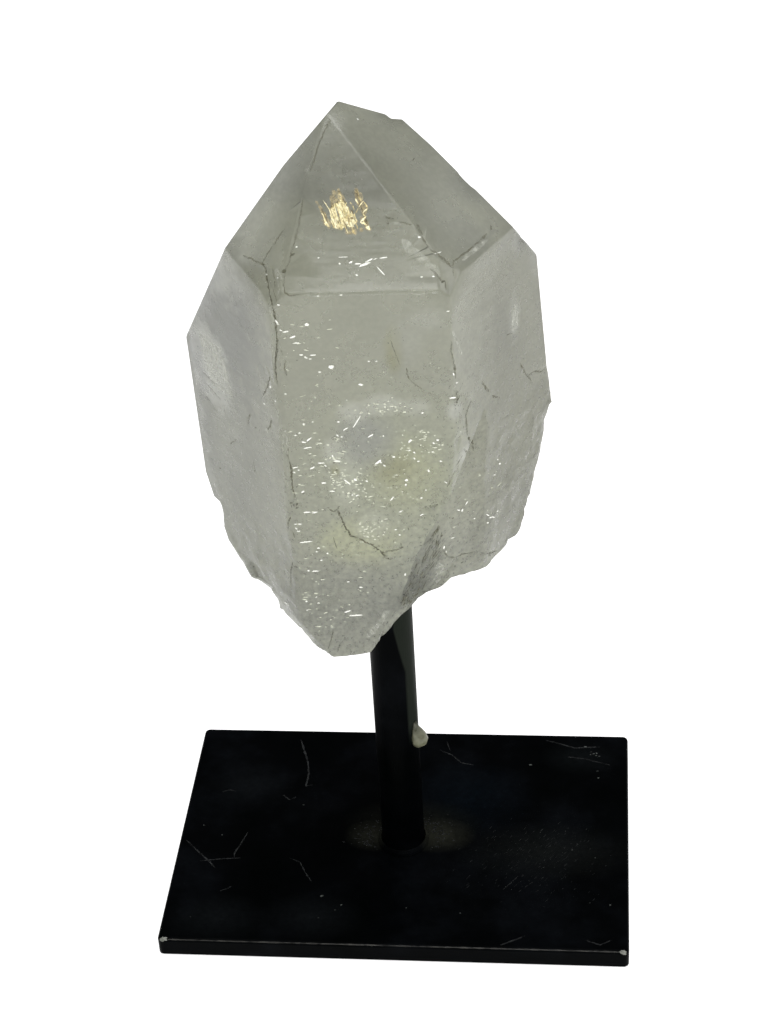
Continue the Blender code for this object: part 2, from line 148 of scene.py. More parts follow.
# cracks on the crystal, seen from the front: width, then x and z along the line, in mm
darkLines = [
    (0.22, [(-20.2, 163.5), (-18.8, 163.6), (-17.1, 163.6), (-16.3, 163.6)]),
    (0.30, [(-16.3, 163.6), (-15.5, 163.2), (-15.2, 162.1), (-14.7, 160.7), (-14.4, 159.0), (-13.9, 157.1),
            (-13.8, 154.5), (-13.8, 151.3), (-14.2, 148.7), (-14.6, 146.5), (-14.7, 143.5), (-14.6, 141.8)]),
    (0.14, [(-12.0, 169.4), (-13.3, 167.8), (-14.8, 165.8), (-15.8, 164.5), (-16.3, 163.6)]),
    (0.20, [(-4.0, 185.3), (-5.3, 183.1), (-6.2, 181.4), (-6.7, 179.8), (-7.6, 177.8)]),
    (0.24, [(-8.7, 174.0), (-9.0, 172.2), (-9.4, 170.4), (-9.9, 168.6), (-10.5, 166.9), (-11.0, 165.2),
            (-11.8, 163.9)]),
    (0.18, [(-11.7, 163.3), (-12.0, 162.0), (-11.7, 160.9), (-10.8, 160.4), (-9.0, 160.5)]),
    (0.14, [(-14.3, 163.7), (-13.6, 162.4), (-13.8, 160.6), (-13.2, 159.1)]),
    (0.22, [(-13.3, 149.3), (-13.0, 148.1)]),
    (0.20, [(-12.7, 147.2), (-12.9, 145.1), (-12.6, 143.8)]),
    (0.22, [(-16.1, 142.4), (-16.8, 139.9), (-18.2, 136.6)]),
    (0.24, [(-16.6, 132.6), (-17.2, 130.8), (-17.8, 129.4)]),
    (0.26, [(-13.6, 128.1), (-13.9, 126.5), (-13.6, 125.5)]),
    (0.34, [(-13.6, 125.5), (-13.4, 123.3), (-13.4, 121.0), (-13.4, 119.0), (-13.3, 117.6)]),
    (0.20, [(-14.3, 112.3), (-15.0, 110.6), (-15.2, 108.5)]),
    (0.18, [(-14.2, 108.8), (-13.9, 107.5)]),
    (0.22, [(-14.8, 101.2), (-15.5, 98.4), (-15.8, 94.7)]),
    (0.26, [(-6.9, 114.2), (-6.0, 113.5), (-5.4, 114.0), (-4.8, 114.8)]),
    (0.34, [(-5.4, 114.0), (-4.7, 112.1), (-4.3, 110.4), (-3.6, 109.0), (-3.1, 107.9), (-1.8, 107.4)]),
    (0.28, [(-1.8, 107.4), (-0.3, 106.2), (0.8, 105.6), (1.9, 104.6), (2.8, 103.4), (3.7, 102.3),
            (4.3, 102.0)]),
    (0.26, [(2.4, 103.6), (4.2, 104.2), (5.7, 104.4), (6.5, 105.0), (6.2, 106.0)]),
    (0.14, [(-6.5, 107.7), (-6.2, 106.3), (-5.9, 104.9)]),
    (0.20, [(9.1, 144.9), (9.2, 143.6), (9.5, 142.5)]),
    (0.12, [(9.5, 142.5), (10.5, 141.4), (11.6, 140.5), (12.1, 139.7)]),
    (0.16, [(12.5, 139.5), (13.5, 139.2)]),
    (0.12, [(13.9, 137.9), (14.7, 137.2)]),
    (0.10, [(6.5, 150.8), (7.2, 148.3), (8.0, 145.5)]),
    (0.22, [(17.4, 150.2), (17.3, 148.4), (17.6, 146.2), (17.8, 143.8), (17.9, 141.8)]),
    (0.40, [(17.9, 139.2), (18.0, 137.6), (17.9, 136.4)]),
    (0.20, [(20.2, 134.3), (19.7, 133.4), (19.3, 132.1), (19.3, 130.0), (19.5, 127.2)]),
    (0.32, [(19.5, 127.2), (19.8, 124.6), (20.0, 120.5)]),
    (0.24, [(19.5, 121.9), (18.7, 124.9)]),
    (0.20, [(18.4, 123.7), (17.7, 122.9), (17.3, 122.6)]),
    (0.16, [(17.1, 121.3), (16.5, 120.7), (15.6, 118.6)]),
    (0.26, [(23.4, 163.7), (22.9, 163.6), (22.3, 163.6)]),
    (0.16, [(22.3, 163.6), (20.6, 163.6), (19.0, 163.7), (17.9, 163.8), (17.9, 162.9), (18.1, 161.9)]),
    (0.20, [(23.9, 164.2), (24.2, 163.7)]),
    (0.20, [(5.7, 171.2), (6.6, 170.9), (7.5, 170.8)]),
    (0.14, [(8.2, 170.5), (9.4, 170.2), (10.7, 169.9)]),
    (0.22, [(11.4, 169.7), (12.1, 168.9), (12.6, 168.0), (13.2, 167.2)]),
    (0.18, [(13.2, 167.2), (14.1, 166.3), (15.3, 165.5), (16.7, 164.3), (17.8, 163.2)]),
    (0.26, [(14.0, 163.7), (14.7, 163.1), (15.4, 162.5), (16.1, 161.8), (16.6, 161.6)]),
    (0.16, [(16.6, 161.6), (16.8, 160.2)]),
    (0.20, [(28.7, 132.3), (29.3, 129.9), (30.0, 127.7), (30.6, 126.1)]),
    (0.18, [(30.0, 128.1), (31.3, 127.5), (32.4, 125.9), (33.3, 126.0)]),
    (0.22, [(22.1, 136.1), (22.7, 134.0), (23.2, 132.6)]),
    (0.26, [(23.7, 131.1), (24.7, 129.4)]),
    (0.12, [(26.3, 141.3), (27.5, 140.4)]),
    (0.24, [(-21.9, 129.6), (-22.7, 126.7)]),
    (0.16, [(-26.2, 120.1), (-28.0, 117.7)]),
    (0.12, [(-33.1, 130.1), (-31.4, 129.9), (-30.0, 129.4)]),
    (0.12, [(-32.4, 127.9), (-31.0, 127.5), (-29.1, 126.9)]),
    (0.12, [(-33.0, 124.7), (-31.6, 123.9), (-30.5, 123.0)]),
    (0.12, [(-22.3, 118.8), (-22.1, 116.2)]),
    (0.26, [(13.5, 97.8), (14.4, 95.9), (15.7, 94.8), (17.1, 95.1), (18.6, 94.7), (19.9, 94.8)]),
    (0.14, [(19.9, 94.8), (21.9, 92.6), (23.5, 90.6)]),
    (0.24, [(12.0, 114.1), (12.9, 113.9), (13.7, 114.8)]),
    (0.20, [(7.8, 109.5), (8.0, 108.8)]),
    (0.22, [(-8.0, 84.9), (-8.5, 82.7), (-9.3, 80.5)]),
    (0.14, [(-5.7, 83.2), (-6.8, 81.4), (-7.5, 79.6)]),
    (0.20, [(12.9, 104.4), (11.5, 102.1), (10.1, 101.1)]),
]
# dirt in small pits: x, z and radius
darkPits = [
    (-11.9, 163.7, 0.75), (-10.3, 166.2, 0.45), (-13.2, 115.3, 0.6), (-12.9, 114.6, 0.35),
    (-14.0, 115.6, 0.4), (-14.3, 100.2, 0.45), (-16.1, 163.5, 0.4), (16.3, 161.6, 0.4),
    (18.0, 137.0, 0.45), (-12.6, 119.4, 0.2), (-11.5, 117.8, 0.2), (-5.3, 140.8, 0.2), (-10.5, 147.1, 0.2),
    (5.5, 119.2, 0.18), (5.1, 125.9, 0.18), (6.6, 170.9, 0.2), (6.4, 170.2, 0.25), (17.0, 93.2, 0.3),
    (15.7, 105.3, 0.25), (-20.8, 127.4, 0.25), (-31.4, 109.0, 0.25), (10.1, 175.8, 0.25),
    (-4.8, 123.0, 0.35), (-5.3, 124.6, 0.25), (0.8, 105.6, 0.3), (1.9, 104.4, 0.35), (-4.3, 110.4, 0.3),
    (-3.3, 108.1, 0.25), (6.5, 104.8, 0.35),
]
# worn and healed edges: width, blunt ends, points
paleBands = [
    (0.75, False, [(-8.5, 160.5), (-3.0, 160.4), (2.5, 160.5), (9.0, 160.4), (16.4, 160.3)]),
    (1.10, False, [(-13.9, 132.1), (-14.2, 127.6), (-14.5, 123.0), (-14.8, 118.3), (-15.1, 114.7),
                   (-15.7, 110.7)]),
    (0.80, False, [(-14.8, 136.1), (-14.8, 132.9), (-14.9, 129.5)]),
    (0.85, False, [(-13.9, 163.8), (-12.9, 163.2), (-12.4, 162.0), (-12.6, 159.6)]),
    (0.60, False, [(-14.6, 160.3), (-14.4, 156.3), (-14.5, 151.3), (-14.9, 146.9), (-15.6, 142.1)]),
    (1.30, False, [(8.9, 167.9), (10.7, 166.4), (13.1, 164.7), (15.7, 162.8)]),
    (0.35, False, [(6.9, 170.3), (8.6, 170.1)]),
    (0.40, False, [(23.6, 163.1), (21.5, 163.2), (19.4, 163.3)]),
    (0.30, False, [(17.6, 152.4), (18.0, 150.3), (19.0, 145.6)]),
    (1.10, False, [(-1.6, 83.1), (-0.2, 84.6), (1.1, 86.5), (2.3, 88.4), (3.4, 90.3)]),
    (5.5, True, [(-30.2, 139.3), (-29.6, 135.5), (-28.4, 129.5)]),
    (1.6, False, [(12.3, 95.2), (12.9, 92.6), (11.6, 89.6)]),
    (1.1, False, [(27.9, 146.0), (27.9, 143.0), (27.8, 140.3)]),
]
# painted glints on small flat fractures, as white flecks: the two ends, then the width
flecks = [
    (1.7, 164.4, 3.2, 164.8, 0.50), (2.6, 164.9, 3.6, 165.3, 0.34), (5.1, 165.4, 6.3, 165.5, 0.26),
    (-0.2, 164.9, 0.1, 165.0, 0.35), (0.7, 164.7, 1.7, 164.7, 0.3), (4.6, 164.2, 6.0, 163.0, 0.22),
    (-2.1, 164.8, -2.0, 164.8, 0.35), (0.9, 163.2, 1.1, 163.1, 0.3), (-2.3, 165.7, -0.7, 165.7, 0.16),
    (3.9, 165.2, 4.6, 165.4, 0.16), (12.4, 162.6, 12.6, 162.6, 0.3), (14.5, 162.6, 14.7, 162.6, 0.3),
    (-5.9, 165.7, -5.7, 165.7, 0.22), (-5.9, 168.4, -5.8, 168.3, 0.22), (0.3, 183.5, 0.4, 183.4, 0.42),
    (11.9, 168.2, 12.1, 168.2, 0.42), (14.8, 165.7, 15.8, 165.5, 0.34), (-9.8, 167.3, -9.7, 167.3, 0.35),
    (-15.4, 162.5, -15.2, 162.5, 0.3), (-13.2, 162.7, -13.0, 162.8, 0.3), (-6.0, 160.2, -5.8, 160.2, 0.3),
    (-1.9, 160.3, -1.6, 160.3, 0.25), (-13.7, 155.3, -13.4, 154.7, 0.42),
    (-13.1, 158.6, -12.9, 158.6, 0.35), (-12.6, 153.0, -11.7, 153.2, 0.42),
    (-13.1, 153.5, -12.8, 153.3, 0.3), (-11.4, 151.8, -10.5, 152.2, 0.4),
    (-11.0, 150.7, -9.9, 150.7, 0.36), (-8.4, 154.4, -8.2, 154.4, 0.75), (-9.9, 148.2, -9.5, 148.2, 0.35),
    (-9.0, 147.7, -8.7, 147.5, 0.4), (-8.3, 147.3, -8.0, 147.3, 0.3), (-7.9, 148.1, -7.2, 148.1, 0.36),
    (-6.7, 144.5, -6.5, 144.5, 0.35), (-4.5, 145.5, -4.3, 145.5, 0.9), (0.4, 141.7, 0.9, 141.5, 0.5),
    (-13.2, 140.0, -13.1, 140.0, 0.35), (-16.3, 140.0, -16.1, 140.2, 0.45),
    (-18.2, 134.9, -17.9, 135.1, 0.42), (-15.4, 137.7, -15.2, 137.9, 0.3),
    (-18.2, 129.5, -17.9, 128.7, 0.26), (-12.1, 131.0, -11.9, 131.0, 0.3),
    (-11.3, 131.5, -11.1, 131.5, 0.26), (-10.4, 133.4, -10.2, 133.4, 0.36),
    (-10.9, 129.5, -10.3, 129.4, 0.36), (-10.0, 129.7, -9.2, 130.3, 0.36),
    (-10.6, 128.1, -9.3, 128.3, 0.4), (-8.7, 133.8, -8.6, 133.8, 0.3), (-4.0, 133.7, -3.8, 133.7, 0.36),
    (-3.0, 131.9, -2.4, 132.3, 0.4), (-1.3, 132.3, 0.2, 134.8, 0.26), (1.4, 130.2, 2.3, 130.8, 0.34),
    (-4.3, 130.8, -4.1, 130.6, 0.34), (-3.6, 130.4, -3.4, 130.4, 0.26), (-13.0, 123.7, -12.2, 123.9, 0.34),
    (-13.1, 122.8, -12.7, 122.6, 0.34), (-12.1, 123.2, -11.9, 123.2, 0.26),
    (-9.8, 123.4, -9.1, 123.8, 0.36), (-8.2, 124.7, -7.1, 124.7, 0.34), (-7.0, 124.2, -6.8, 124.0, 0.3),
    (-7.8, 120.2, -7.2, 120.2, 0.36), (-6.4, 118.3, -5.7, 118.3, 0.36), (-11.7, 118.2, -11.3, 118.5, 0.34),
    (-11.7, 113.6, -10.5, 113.6, 0.34), (-10.0, 113.4, -9.2, 113.6, 0.32),
    (-13.6, 110.8, -12.2, 110.9, 0.3), (-13.5, 109.9, -13.3, 109.7, 0.34),
    (-13.3, 109.2, -12.7, 109.2, 0.3), (-13.2, 106.4, -10.8, 106.8, 0.34),
    (-9.6, 105.1, -9.4, 105.1, 0.34), (-10.0, 104.2, -9.8, 104.2, 0.3), (-9.2, 102.2, -9.0, 102.2, 0.34),
    (-7.9, 103.9, -7.7, 103.9, 0.3), (-11.9, 99.6, -11.7, 99.6, 0.4), (-11.0, 99.5, -10.0, 99.5, 0.36),
    (-2.1, 95.5, -1.7, 95.5, 0.36), (-17.8, 88.7, -16.8, 89.1, 0.34), (-12.8, 92.5, -12.6, 92.5, 0.34),
    (-10.8, 93.4, -10.6, 93.4, 0.26), (-10.5, 91.9, -10.3, 91.9, 0.26), (-12.8, 90.2, -12.6, 90.3, 0.26),
    (-5.4, 89.5, -4.4, 89.8, 0.4), (-4.3, 88.5, -2.1, 88.6, 0.46), (-4.4, 96.7, -4.2, 96.7, 0.36),
    (-5.2, 125.1, -4.3, 125.0, 0.5), (-5.5, 126.4, -5.4, 126.0, 0.4), (2.5, 124.2, 3.5, 125.1, 0.5),
    (-3.4, 120.7, -2.6, 119.8, 0.42), (-1.6, 120.9, -1.4, 120.7, 0.4), (0.5, 120.4, 0.7, 120.4, 0.4),
    (-1.6, 117.1, -1.2, 117.3, 0.34), (-2.3, 117.3, -2.2, 117.3, 0.3), (4.0, 123.9, 4.2, 123.7, 0.4),
    (3.5, 124.6, 3.5, 124.4, 0.36), (5.8, 125.7, 6.0, 125.7, 0.45), (4.2, 130.4, 4.3, 130.4, 0.36),
    (8.9, 128.9, 9.3, 129.3, 0.55), (8.8, 127.1, 9.0, 127.1, 0.36), (9.7, 126.7, 9.9, 126.4, 0.3),
    (9.7, 125.3, 9.8, 125.1, 0.36), (10.4, 124.6, 10.6, 124.6, 0.34), (14.5, 124.5, 14.7, 124.5, 0.4),
    (8.0, 120.4, 8.1, 120.4, 0.6), (7.9, 119.5, 7.9, 119.3, 0.34), (12.2, 122.6, 12.3, 122.3, 0.4),
    (14.1, 129.2, 14.3, 129.2, 0.4), (13.3, 128.6, 13.5, 128.5, 0.36), (13.1, 126.6, 13.2, 126.6, 0.36),
    (11.6, 135.2, 11.7, 135.2, 0.45), (17.5, 143.3, 17.6, 143.0, 0.36), (17.9, 141.0, 18.1, 140.8, 0.34),
    (16.8, 138.2, 17.8, 137.7, 0.42), (16.9, 156.4, 17.2, 156.4, 0.3), (18.3, 129.9, 18.4, 129.7, 0.26),
    (6.1, 107.9, 6.3, 107.9, 0.36), (5.4, 109.1, 5.6, 109.1, 0.34), (6.5, 113.3, 6.9, 113.5, 0.36),
    (10.4, 112.3, 10.8, 112.5, 0.36), (4.9, 116.0, 5.6, 116.9, 0.3), (10.6, 116.3, 10.8, 116.3, 0.34),
    (11.6, 118.1, 11.6, 117.9, 0.26), (16.7, 106.9, 16.9, 106.8, 0.34), (17.4, 106.3, 17.6, 106.7, 0.45),
    (22.4, 101.8, 23.4, 100.7, 0.45), (22.0, 103.0, 22.4, 102.3, 0.3), (23.8, 101.9, 24.0, 101.6, 0.36),
    (22.0, 100.9, 22.2, 100.8, 0.36), (15.2, 100.2, 15.7, 100.4, 0.36), (13.8, 98.9, 13.7, 98.4, 0.42),
    (14.1, 97.4, 14.1, 97.1, 0.3), (24.5, 113.0, 24.7, 112.8, 0.42), (24.2, 114.5, 24.3, 114.3, 0.26),
    (23.5, 111.3, 23.7, 111.1, 0.3), (18.6, 108.3, 18.1, 107.6, 0.26), (19.6, 103.4, 19.8, 103.3, 0.26),
    (15.2, 119.8, 15.6, 119.5, 0.26), (6.8, 98.6, 6.8, 98.3, 0.36), (2.3, 146.5, 2.5, 146.5, 0.3),
    (3.7, 146.5, 3.9, 146.5, 0.26), (-2.2, 138.4, -2.0, 138.4, 0.2),
]

quartzSettings = {
    "low": "#C0C2B1",
    "high": "#C8CAB9",
    "ior": 1.544,
    "transmission": 0.62,
    "absorbColour": "#A6A68C",
    "absorbDensity": 46.0,
    "satin": (0.20, 0.32),  # roughness of the grown faces
    "frosted": (0.26, 0.55),  # and of the broken skin
    # sizes of the patterns in mm
    "mottleSize": 7.7,
    "wobbleSize": 11.1,
    "lineSize": 2.63,
    "pebbleSize": 2.63,
    "speckSize": 0.91,
    "lineStretch": (0.35, 0.35, 1.5),
    # how much the specks darken and lighten the colour
    "specksBroken": (0.82, 1.26),
    "specksGrown": (0.96, 1.05),
    "cloudRim": 0.8,  # how far a cloud's rim is torn, in its radii
    "bumpBroken": 0.6,
    "bumpGrown": 0.2,
    "bumpDepth": 0.5,
    # the look goes over from broken to grown between these heights, in mm
    "brokenBelow": 112.0,
    "grownAbove": 165.0,
    "wobbleReach": 30.0,
    # the knobbly break lies under a slanting plane: its height in mm, and its rise
    "roughLevel": 112.0,
    "roughRisePerX": 0.5,
    "roughRisePerY": -0.2,
    "fade": 9.0,
    # longest edges in mm on the break, on the smooth faces and within reach of a crack
    "roughEdge": 1.1,
    "roughMargin": 4.0,
    "smoothEdge": 7.0,
    "lineEdge": 0.5,
    "lineReach": 1.0,
    "splitPasses": 9,
    # relief of the break: size and height in mm, and where its noise starts
    "relief": [
        (4.0, 0.20, (0.0, 0.0, 0.0)),
        (1.8, 0.14, (0.0, 0.0, 0.0)),
        (0.9, 0.12, (3.0, 5.0, 1.0)),
    ],
    # grooves along the cracks: reach past a crack's width, and depth for each mm of width
    "grooveReach": 0.35,
    "grooveDepth": 0.35,
    "sharpAngle": 26,
}
# clouds and stains in the skin, and painted light and shade over some faces: centre mm, radii mm, softness,
# colour, strength
quartzCloudsAndPaintedLight = [
    # this one and the next: painted shade over the left prism faces
    ((-28.0, -10.0, 133.0), (14.0, 18.0, 52.0), 0.9, "#9C9E93", 0.8),
    ((-26.0, -10.0, 151.0), (13.0, 16.0, 19.0), 0.7, "#868884", 0.85),
    ((-31.5, -8.0, 133.0), (6.5, 9.0, 9.0), 0.35, "#CED0C9", 0.9),
    # painted shade over the right prism face
    ((31.0, -6.0, 134.0), (14.0, 18.0, 52.0), 0.9, "#979887", 0.9),
    # painted light on the upper left of the tip
    ((-18.0, -7.0, 170.0), (13.0, 14.0, 18.0), 0.7, "#F0F2E6", 0.95),
    # painted shade on the front of the tip
    ((0.0, -17.0, 171.0), (14.0, 7.0, 16.0), 0.9, "#9EA090", 0.7),
    # painted light on the upper right of the tip
    ((21.0, -8.0, 168.0), (12.0, 12.0, 9.0), 0.9, "#DCDED2", 0.55),
    ((12.0, -11.5, 175.0), (9.0, 8.0, 4.0), 0.9, "#BEC0B1", 0.4),
    ((5.5, -27.0, 118.0), (14.5, 7.0, 19.0), 0.9, "#CBCFB7", 0.8),
    ((8.0, -27.0, 122.0), (6.0, 6.0, 7.0), 0.9, "#D6D9B4", 0.7),
    ((-1.5, -27.5, 106.5), (7.0, 6.0, 5.0), 0.7, "#DCDFBA", 0.7),
    ((5.7, -27.0, 123.1), (3.4, 5.0, 2.8), 0.9, "#A9A77C", 0.5),
    ((-3.4, -27.6, 121.5), (2.8, 5.0, 7.5), 0.7, "#E8EBDA", 0.5),
    ((1.2, -27.5, 109.8), (3.2, 5.0, 3.4), 0.7, "#EAEDDC", 0.45),
    ((0.9, -27.5, 129.5), (5.0, 5.0, 5.5), 0.9, "#BABCB8", 0.7),
    ((7.0, -27.0, 149.0), (1.5, 4.0, 4.2), 0.9, "#A6A468", 0.5),
    ((-5.2, -27.8, 123.2), (0.8, 4.0, 1.6), 0.9, "#9C9862", 0.5),
    ((4.4, -27.2, 137.2), (3.4, 4.0, 2.0), 0.9, "#F2F4E8", 0.6),
    ((-1.1, -27.5, 135.6), (2.4, 4.0, 2.0), 0.9, "#F4F6EA", 0.6),
    ((10.4, -27.0, 136.4), (2.4, 4.0, 1.8), 0.9, "#F2F4E8", 0.45),
    ((-5.5, -27.8, 127.0), (1.6, 4.0, 2.8), 0.9, "#F2F4E8", 0.5),
    ((17.7, -26.2, 135.2), (1.6, 3.0, 1.8), 0.9, "#EAECE2", 0.8),
    ((19.0, -22.5, 123.3), (1.6, 3.0, 1.8), 0.9, "#EAECE2", 0.8),
    ((13.4, -26.8, 154.7), (3.0, 4.0, 2.2), 0.9, "#D8DACE", 0.6),
    ((9.0, -27.0, 151.0), (3.0, 4.0, 4.2), 0.9, "#D2D4C8", 0.5),
    ((27.8, -6.5, 143.4), (1.1, 2.5, 4.4), 0.9, "#C6C8BD", 0.5),
    # this one and the next: painted shade in the cleft between the front body and the right lobe
    ((7.4, -22.5, 91.0), (4.2, 7.0, 4.8), 0.9, "#74776A", 0.9),
    ((10.6, -20.5, 98.5), (3.0, 5.0, 6.5), 0.9, "#93968A", 0.6),
    ((-8.0, -27.0, 92.0), (14.0, 8.0, 9.0), 0.9, "#A2A49A", 0.5),
]


def makeQuartz():
    s = quartzSettings
    # clouded quartz as it grew: satin faces above, frosted broken skin below, greenish grey in depth
    material, tree, shader, place, _, colour = newMaterial(
        "Natural quartz, grown and broken", s["low"], s["high"], s["mottleSize"], s["satin"])
    shader.inputs["IOR"].default_value = s["ior"]
    shader.inputs["Transmission Weight"].default_value = s["transmission"]
    # 1 on the grown faces, 0 on the broken lower end
    parts = addNode(tree, "ShaderNodeSeparateXYZ", inputs={0: place})
    slope = addNode(tree, "ShaderNodeMath", {"operation": "MULTIPLY_ADD"}, {
        0: parts.outputs["X"], 1: -s["roughRisePerX"], 2: parts.outputs["Z"]})
    wobble = addNode(tree, "ShaderNodeTexNoise", inputs={
        "Vector": place, "Scale": 1 / (s["wobbleSize"] * mm), "Detail": 3.0, "Roughness": 0.6})
    shifted = addNode(tree, "ShaderNodeMath", {"operation": "MULTIPLY_ADD"}, {
        0: wobble.outputs["Fac"], 1: s["wobbleReach"] * mm, 2: slope.outputs[0]})
    grown = addNode(tree, "ShaderNodeMapRange", inputs={
        "Value": shifted.outputs[0],
        "From Min": s["brokenBelow"] * mm, "From Max": s["grownAbove"] * mm}).outputs[0]
    # each cloud, stain or patch of painted light or shade lies over the mottled ground, its rim torn by the
    # pebbled pattern
    pebbles = addNode(tree, "ShaderNodeTexNoise", inputs={
        "Vector": place, "Scale": 1 / (s["pebbleSize"] * mm), "Detail": 2.5, "Roughness": 0.6})
    rim = 1 + s["cloudRim"] / 2
    for centre, radii, soft, tint, strength in quartzCloudsAndPaintedLight:
        torn = addNode(tree, "ShaderNodeMath", {"operation": "MULTIPLY_ADD"}, {
            0: pebbles.outputs["Fac"], 1: s["cloudRim"], 2: awayFromPatch(tree, place, centre, radii)})
        share = addNode(tree, "ShaderNodeMapRange", inputs={
            "Value": torn.outputs[0],
            "From Min": rim + soft / 2, "From Max": rim - soft / 2, "To Max": strength})
        colour = addNode(tree, "ShaderNodeMix", {"data_type": "RGBA"}, {
            0: share.outputs[0], 6: colour, 7: tint}).outputs[2]
    # fine specks, strong on the frosted skin and faint on the grown faces
    speck = addNode(tree, "ShaderNodeTexNoise", inputs={
        "Vector": place, "Scale": 1 / (s["speckSize"] * mm), "Detail": 1.5, "Roughness": 0.6})
    darkest, lightest = [addNode(tree, "ShaderNodeMapRange", inputs={
        "Value": grown, "To Min": broken, "To Max": smooth})
        for broken, smooth in zip(s["specksBroken"], s["specksGrown"])]
    tone = addNode(tree, "ShaderNodeMapRange", inputs={
        "Value": speck.outputs["Fac"], "From Min": 0.38, "From Max": 0.70,
        "To Min": darkest.outputs[0], "To Max": lightest.outputs[0]})
    speckled = addNode(tree, "ShaderNodeVectorMath", {"operation": "SCALE"}, {
        0: colour, "Scale": tone.outputs[0]})
    tree.links.new(speckled.outputs[0], shader.inputs["Base Color"])
    # the satin that newMaterial linked gives way to frost on the broken skin
    satin = shader.inputs["Roughness"].links[0].from_socket
    frosted = addNode(tree, "ShaderNodeMapRange", inputs={
        "Value": speck.outputs["Fac"], "From Min": 0.35, "From Max": 0.65,
        "To Min": s["frosted"][0], "To Max": s["frosted"][1]})
    rough = addNode(tree, "ShaderNodeMix", {"data_type": "FLOAT"}, {
        0: grown, 2: frosted.outputs[0], 3: satin})
    tree.links.new(rough.outputs[0], shader.inputs["Roughness"])
    # relief: growth lines lie across the prism faces, so the pattern is drawn out sideways
    sideways = addNode(tree, "ShaderNodeVectorMath", {"operation": "MULTIPLY"}, {
        0: place, 1: s["lineStretch"]})
    lines = addNode(tree, "ShaderNodeTexNoise", inputs={
        "Vector": sideways.outputs[0], "Scale": 1 / (s["lineSize"] * mm), "Detail": 2.0, "Roughness": 0.5})
    height = addNode(tree, "ShaderNodeMix", {"data_type": "FLOAT"}, {
        0: grown, 2: pebbles.outputs["Fac"], 3: lines.outputs["Fac"]})
    strength = addNode(tree, "ShaderNodeMapRange", inputs={
        "Value": grown, "To Min": s["bumpBroken"], "To Max": s["bumpGrown"]})
    bump = addNode(tree, "ShaderNodeBump", inputs={
        "Height": height.outputs[0], "Strength": strength.outputs[0], "Distance": s["bumpDepth"] * mm})
    tree.links.new(bump.outputs[0], shader.inputs["Normal"])
    inside = addNode(tree, "ShaderNodeVolumeAbsorption", inputs={
        "Color": s["absorbColour"], "Density": s["absorbDensity"]})
    tree.links.new(inside.outputs[0], tree.nodes["Material Output"].inputs["Volume"])
    return material


# height of the slanting plane under which the skin is broken
def roughLevel(point):
    s = quartzSettings
    return s["roughLevel"] * mm + s["roughRisePerX"] * point.x + s["roughRisePerY"] * point.y


# points at even steps along a line of (x, z)
def alongLine(points, step=0.3):
    found = []
    for (x0, z0), (x1, z1) in zip(points, points[1:]):
        count = max(1, round(math.hypot(x1 - x0, z1 - z0) / step))
        found += [(x0 + (x1 - x0) * i / count, z0 + (z1 - z0) * i / count) for i in range(count)]
    return found + [points[-1]]


# where a line from the front, at x and z in mm, meets the surface
def castFront(surface, x, z):
    place, normal, _, _ = surface.ray_cast(Vector((x * mm, -0.09, z * mm)), Vector((0.0, 1.0, 0.0)))
    return place, normal


def splitLong(bm, limitOf, passes):
    for _ in range(passes):
        longEdges = [e for e in bm.edges if e.calc_length() > limitOf((e.verts[0].co + e.verts[1].co) / 2)]
        if not longEdges:
            break
        bmesh.ops.subdivide_edges(bm, edges=longEdges, cuts=1)
        bmesh.ops.triangulate(bm, faces=[f for f in bm.faces if len(f.verts) > 3])


def makeCrystal():
    s = quartzSettings
    bm = bmesh.new()
    bm.from_mesh(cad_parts["crystal"].data)
    bmesh.ops.remove_doubles(bm, verts=bm.verts[:], dist=1e-6)
    first = BVHTree.FromBMesh(bm)
    marks = []
    for width, points in darkLines:
        for x, z in alongLine(points):
            place, normal = castFront(first, x, z)
            if place:
                marks.append((place, width * mm))
    near = kdtree.KDTree(len(marks))
    for index, (place, width) in enumerate(marks):
        near.insert(place, index)
    near.balance()

    def limitOf(middle):
        if near.find(middle)[2] < s["lineReach"] * mm:
            return s["lineEdge"] * mm
        low = middle.z < roughLevel(middle) + s["roughMargin"] * mm
        return (s["roughEdge"] if low else s["smoothEdge"]) * mm

    splitLong(bm, limitOf, s["splitPasses"])
    bm.normal_update()
    pushes = []
    for vertex in bm.verts:
        depth = roughLevel(vertex.co) - vertex.co.z
        share = max(0.0, min(1.0, depth / (s["fade"] * mm) + 0.1))
        push = 0.0
        for size, high, start in s["relief"]:
            push += share * high * mm * noise.noise(vertex.co / (size * mm) + Vector(start))
        _, index, away = near.find(vertex.co)
        width = marks[index][1]
        reach = s["grooveReach"] * mm + width
        if away < reach:
            push -= s["grooveDepth"] * width * (1 - (away / reach) ** 2)
        pushes.append(vertex.normal * push)
    for vertex, push in zip(bm.verts, pushes):
        vertex.co += push
    print("crystal faces", len(bm.faces))
    surface = BVHTree.FromBMesh(bm)
    piece = finishPiece("quartzCrystal", bm, makeQuartz(), s["sharpAngle"])
    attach(piece, "root")
    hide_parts("crystal")
    return surface


crystalSkin = makeCrystal()
chance = random.Random(11)


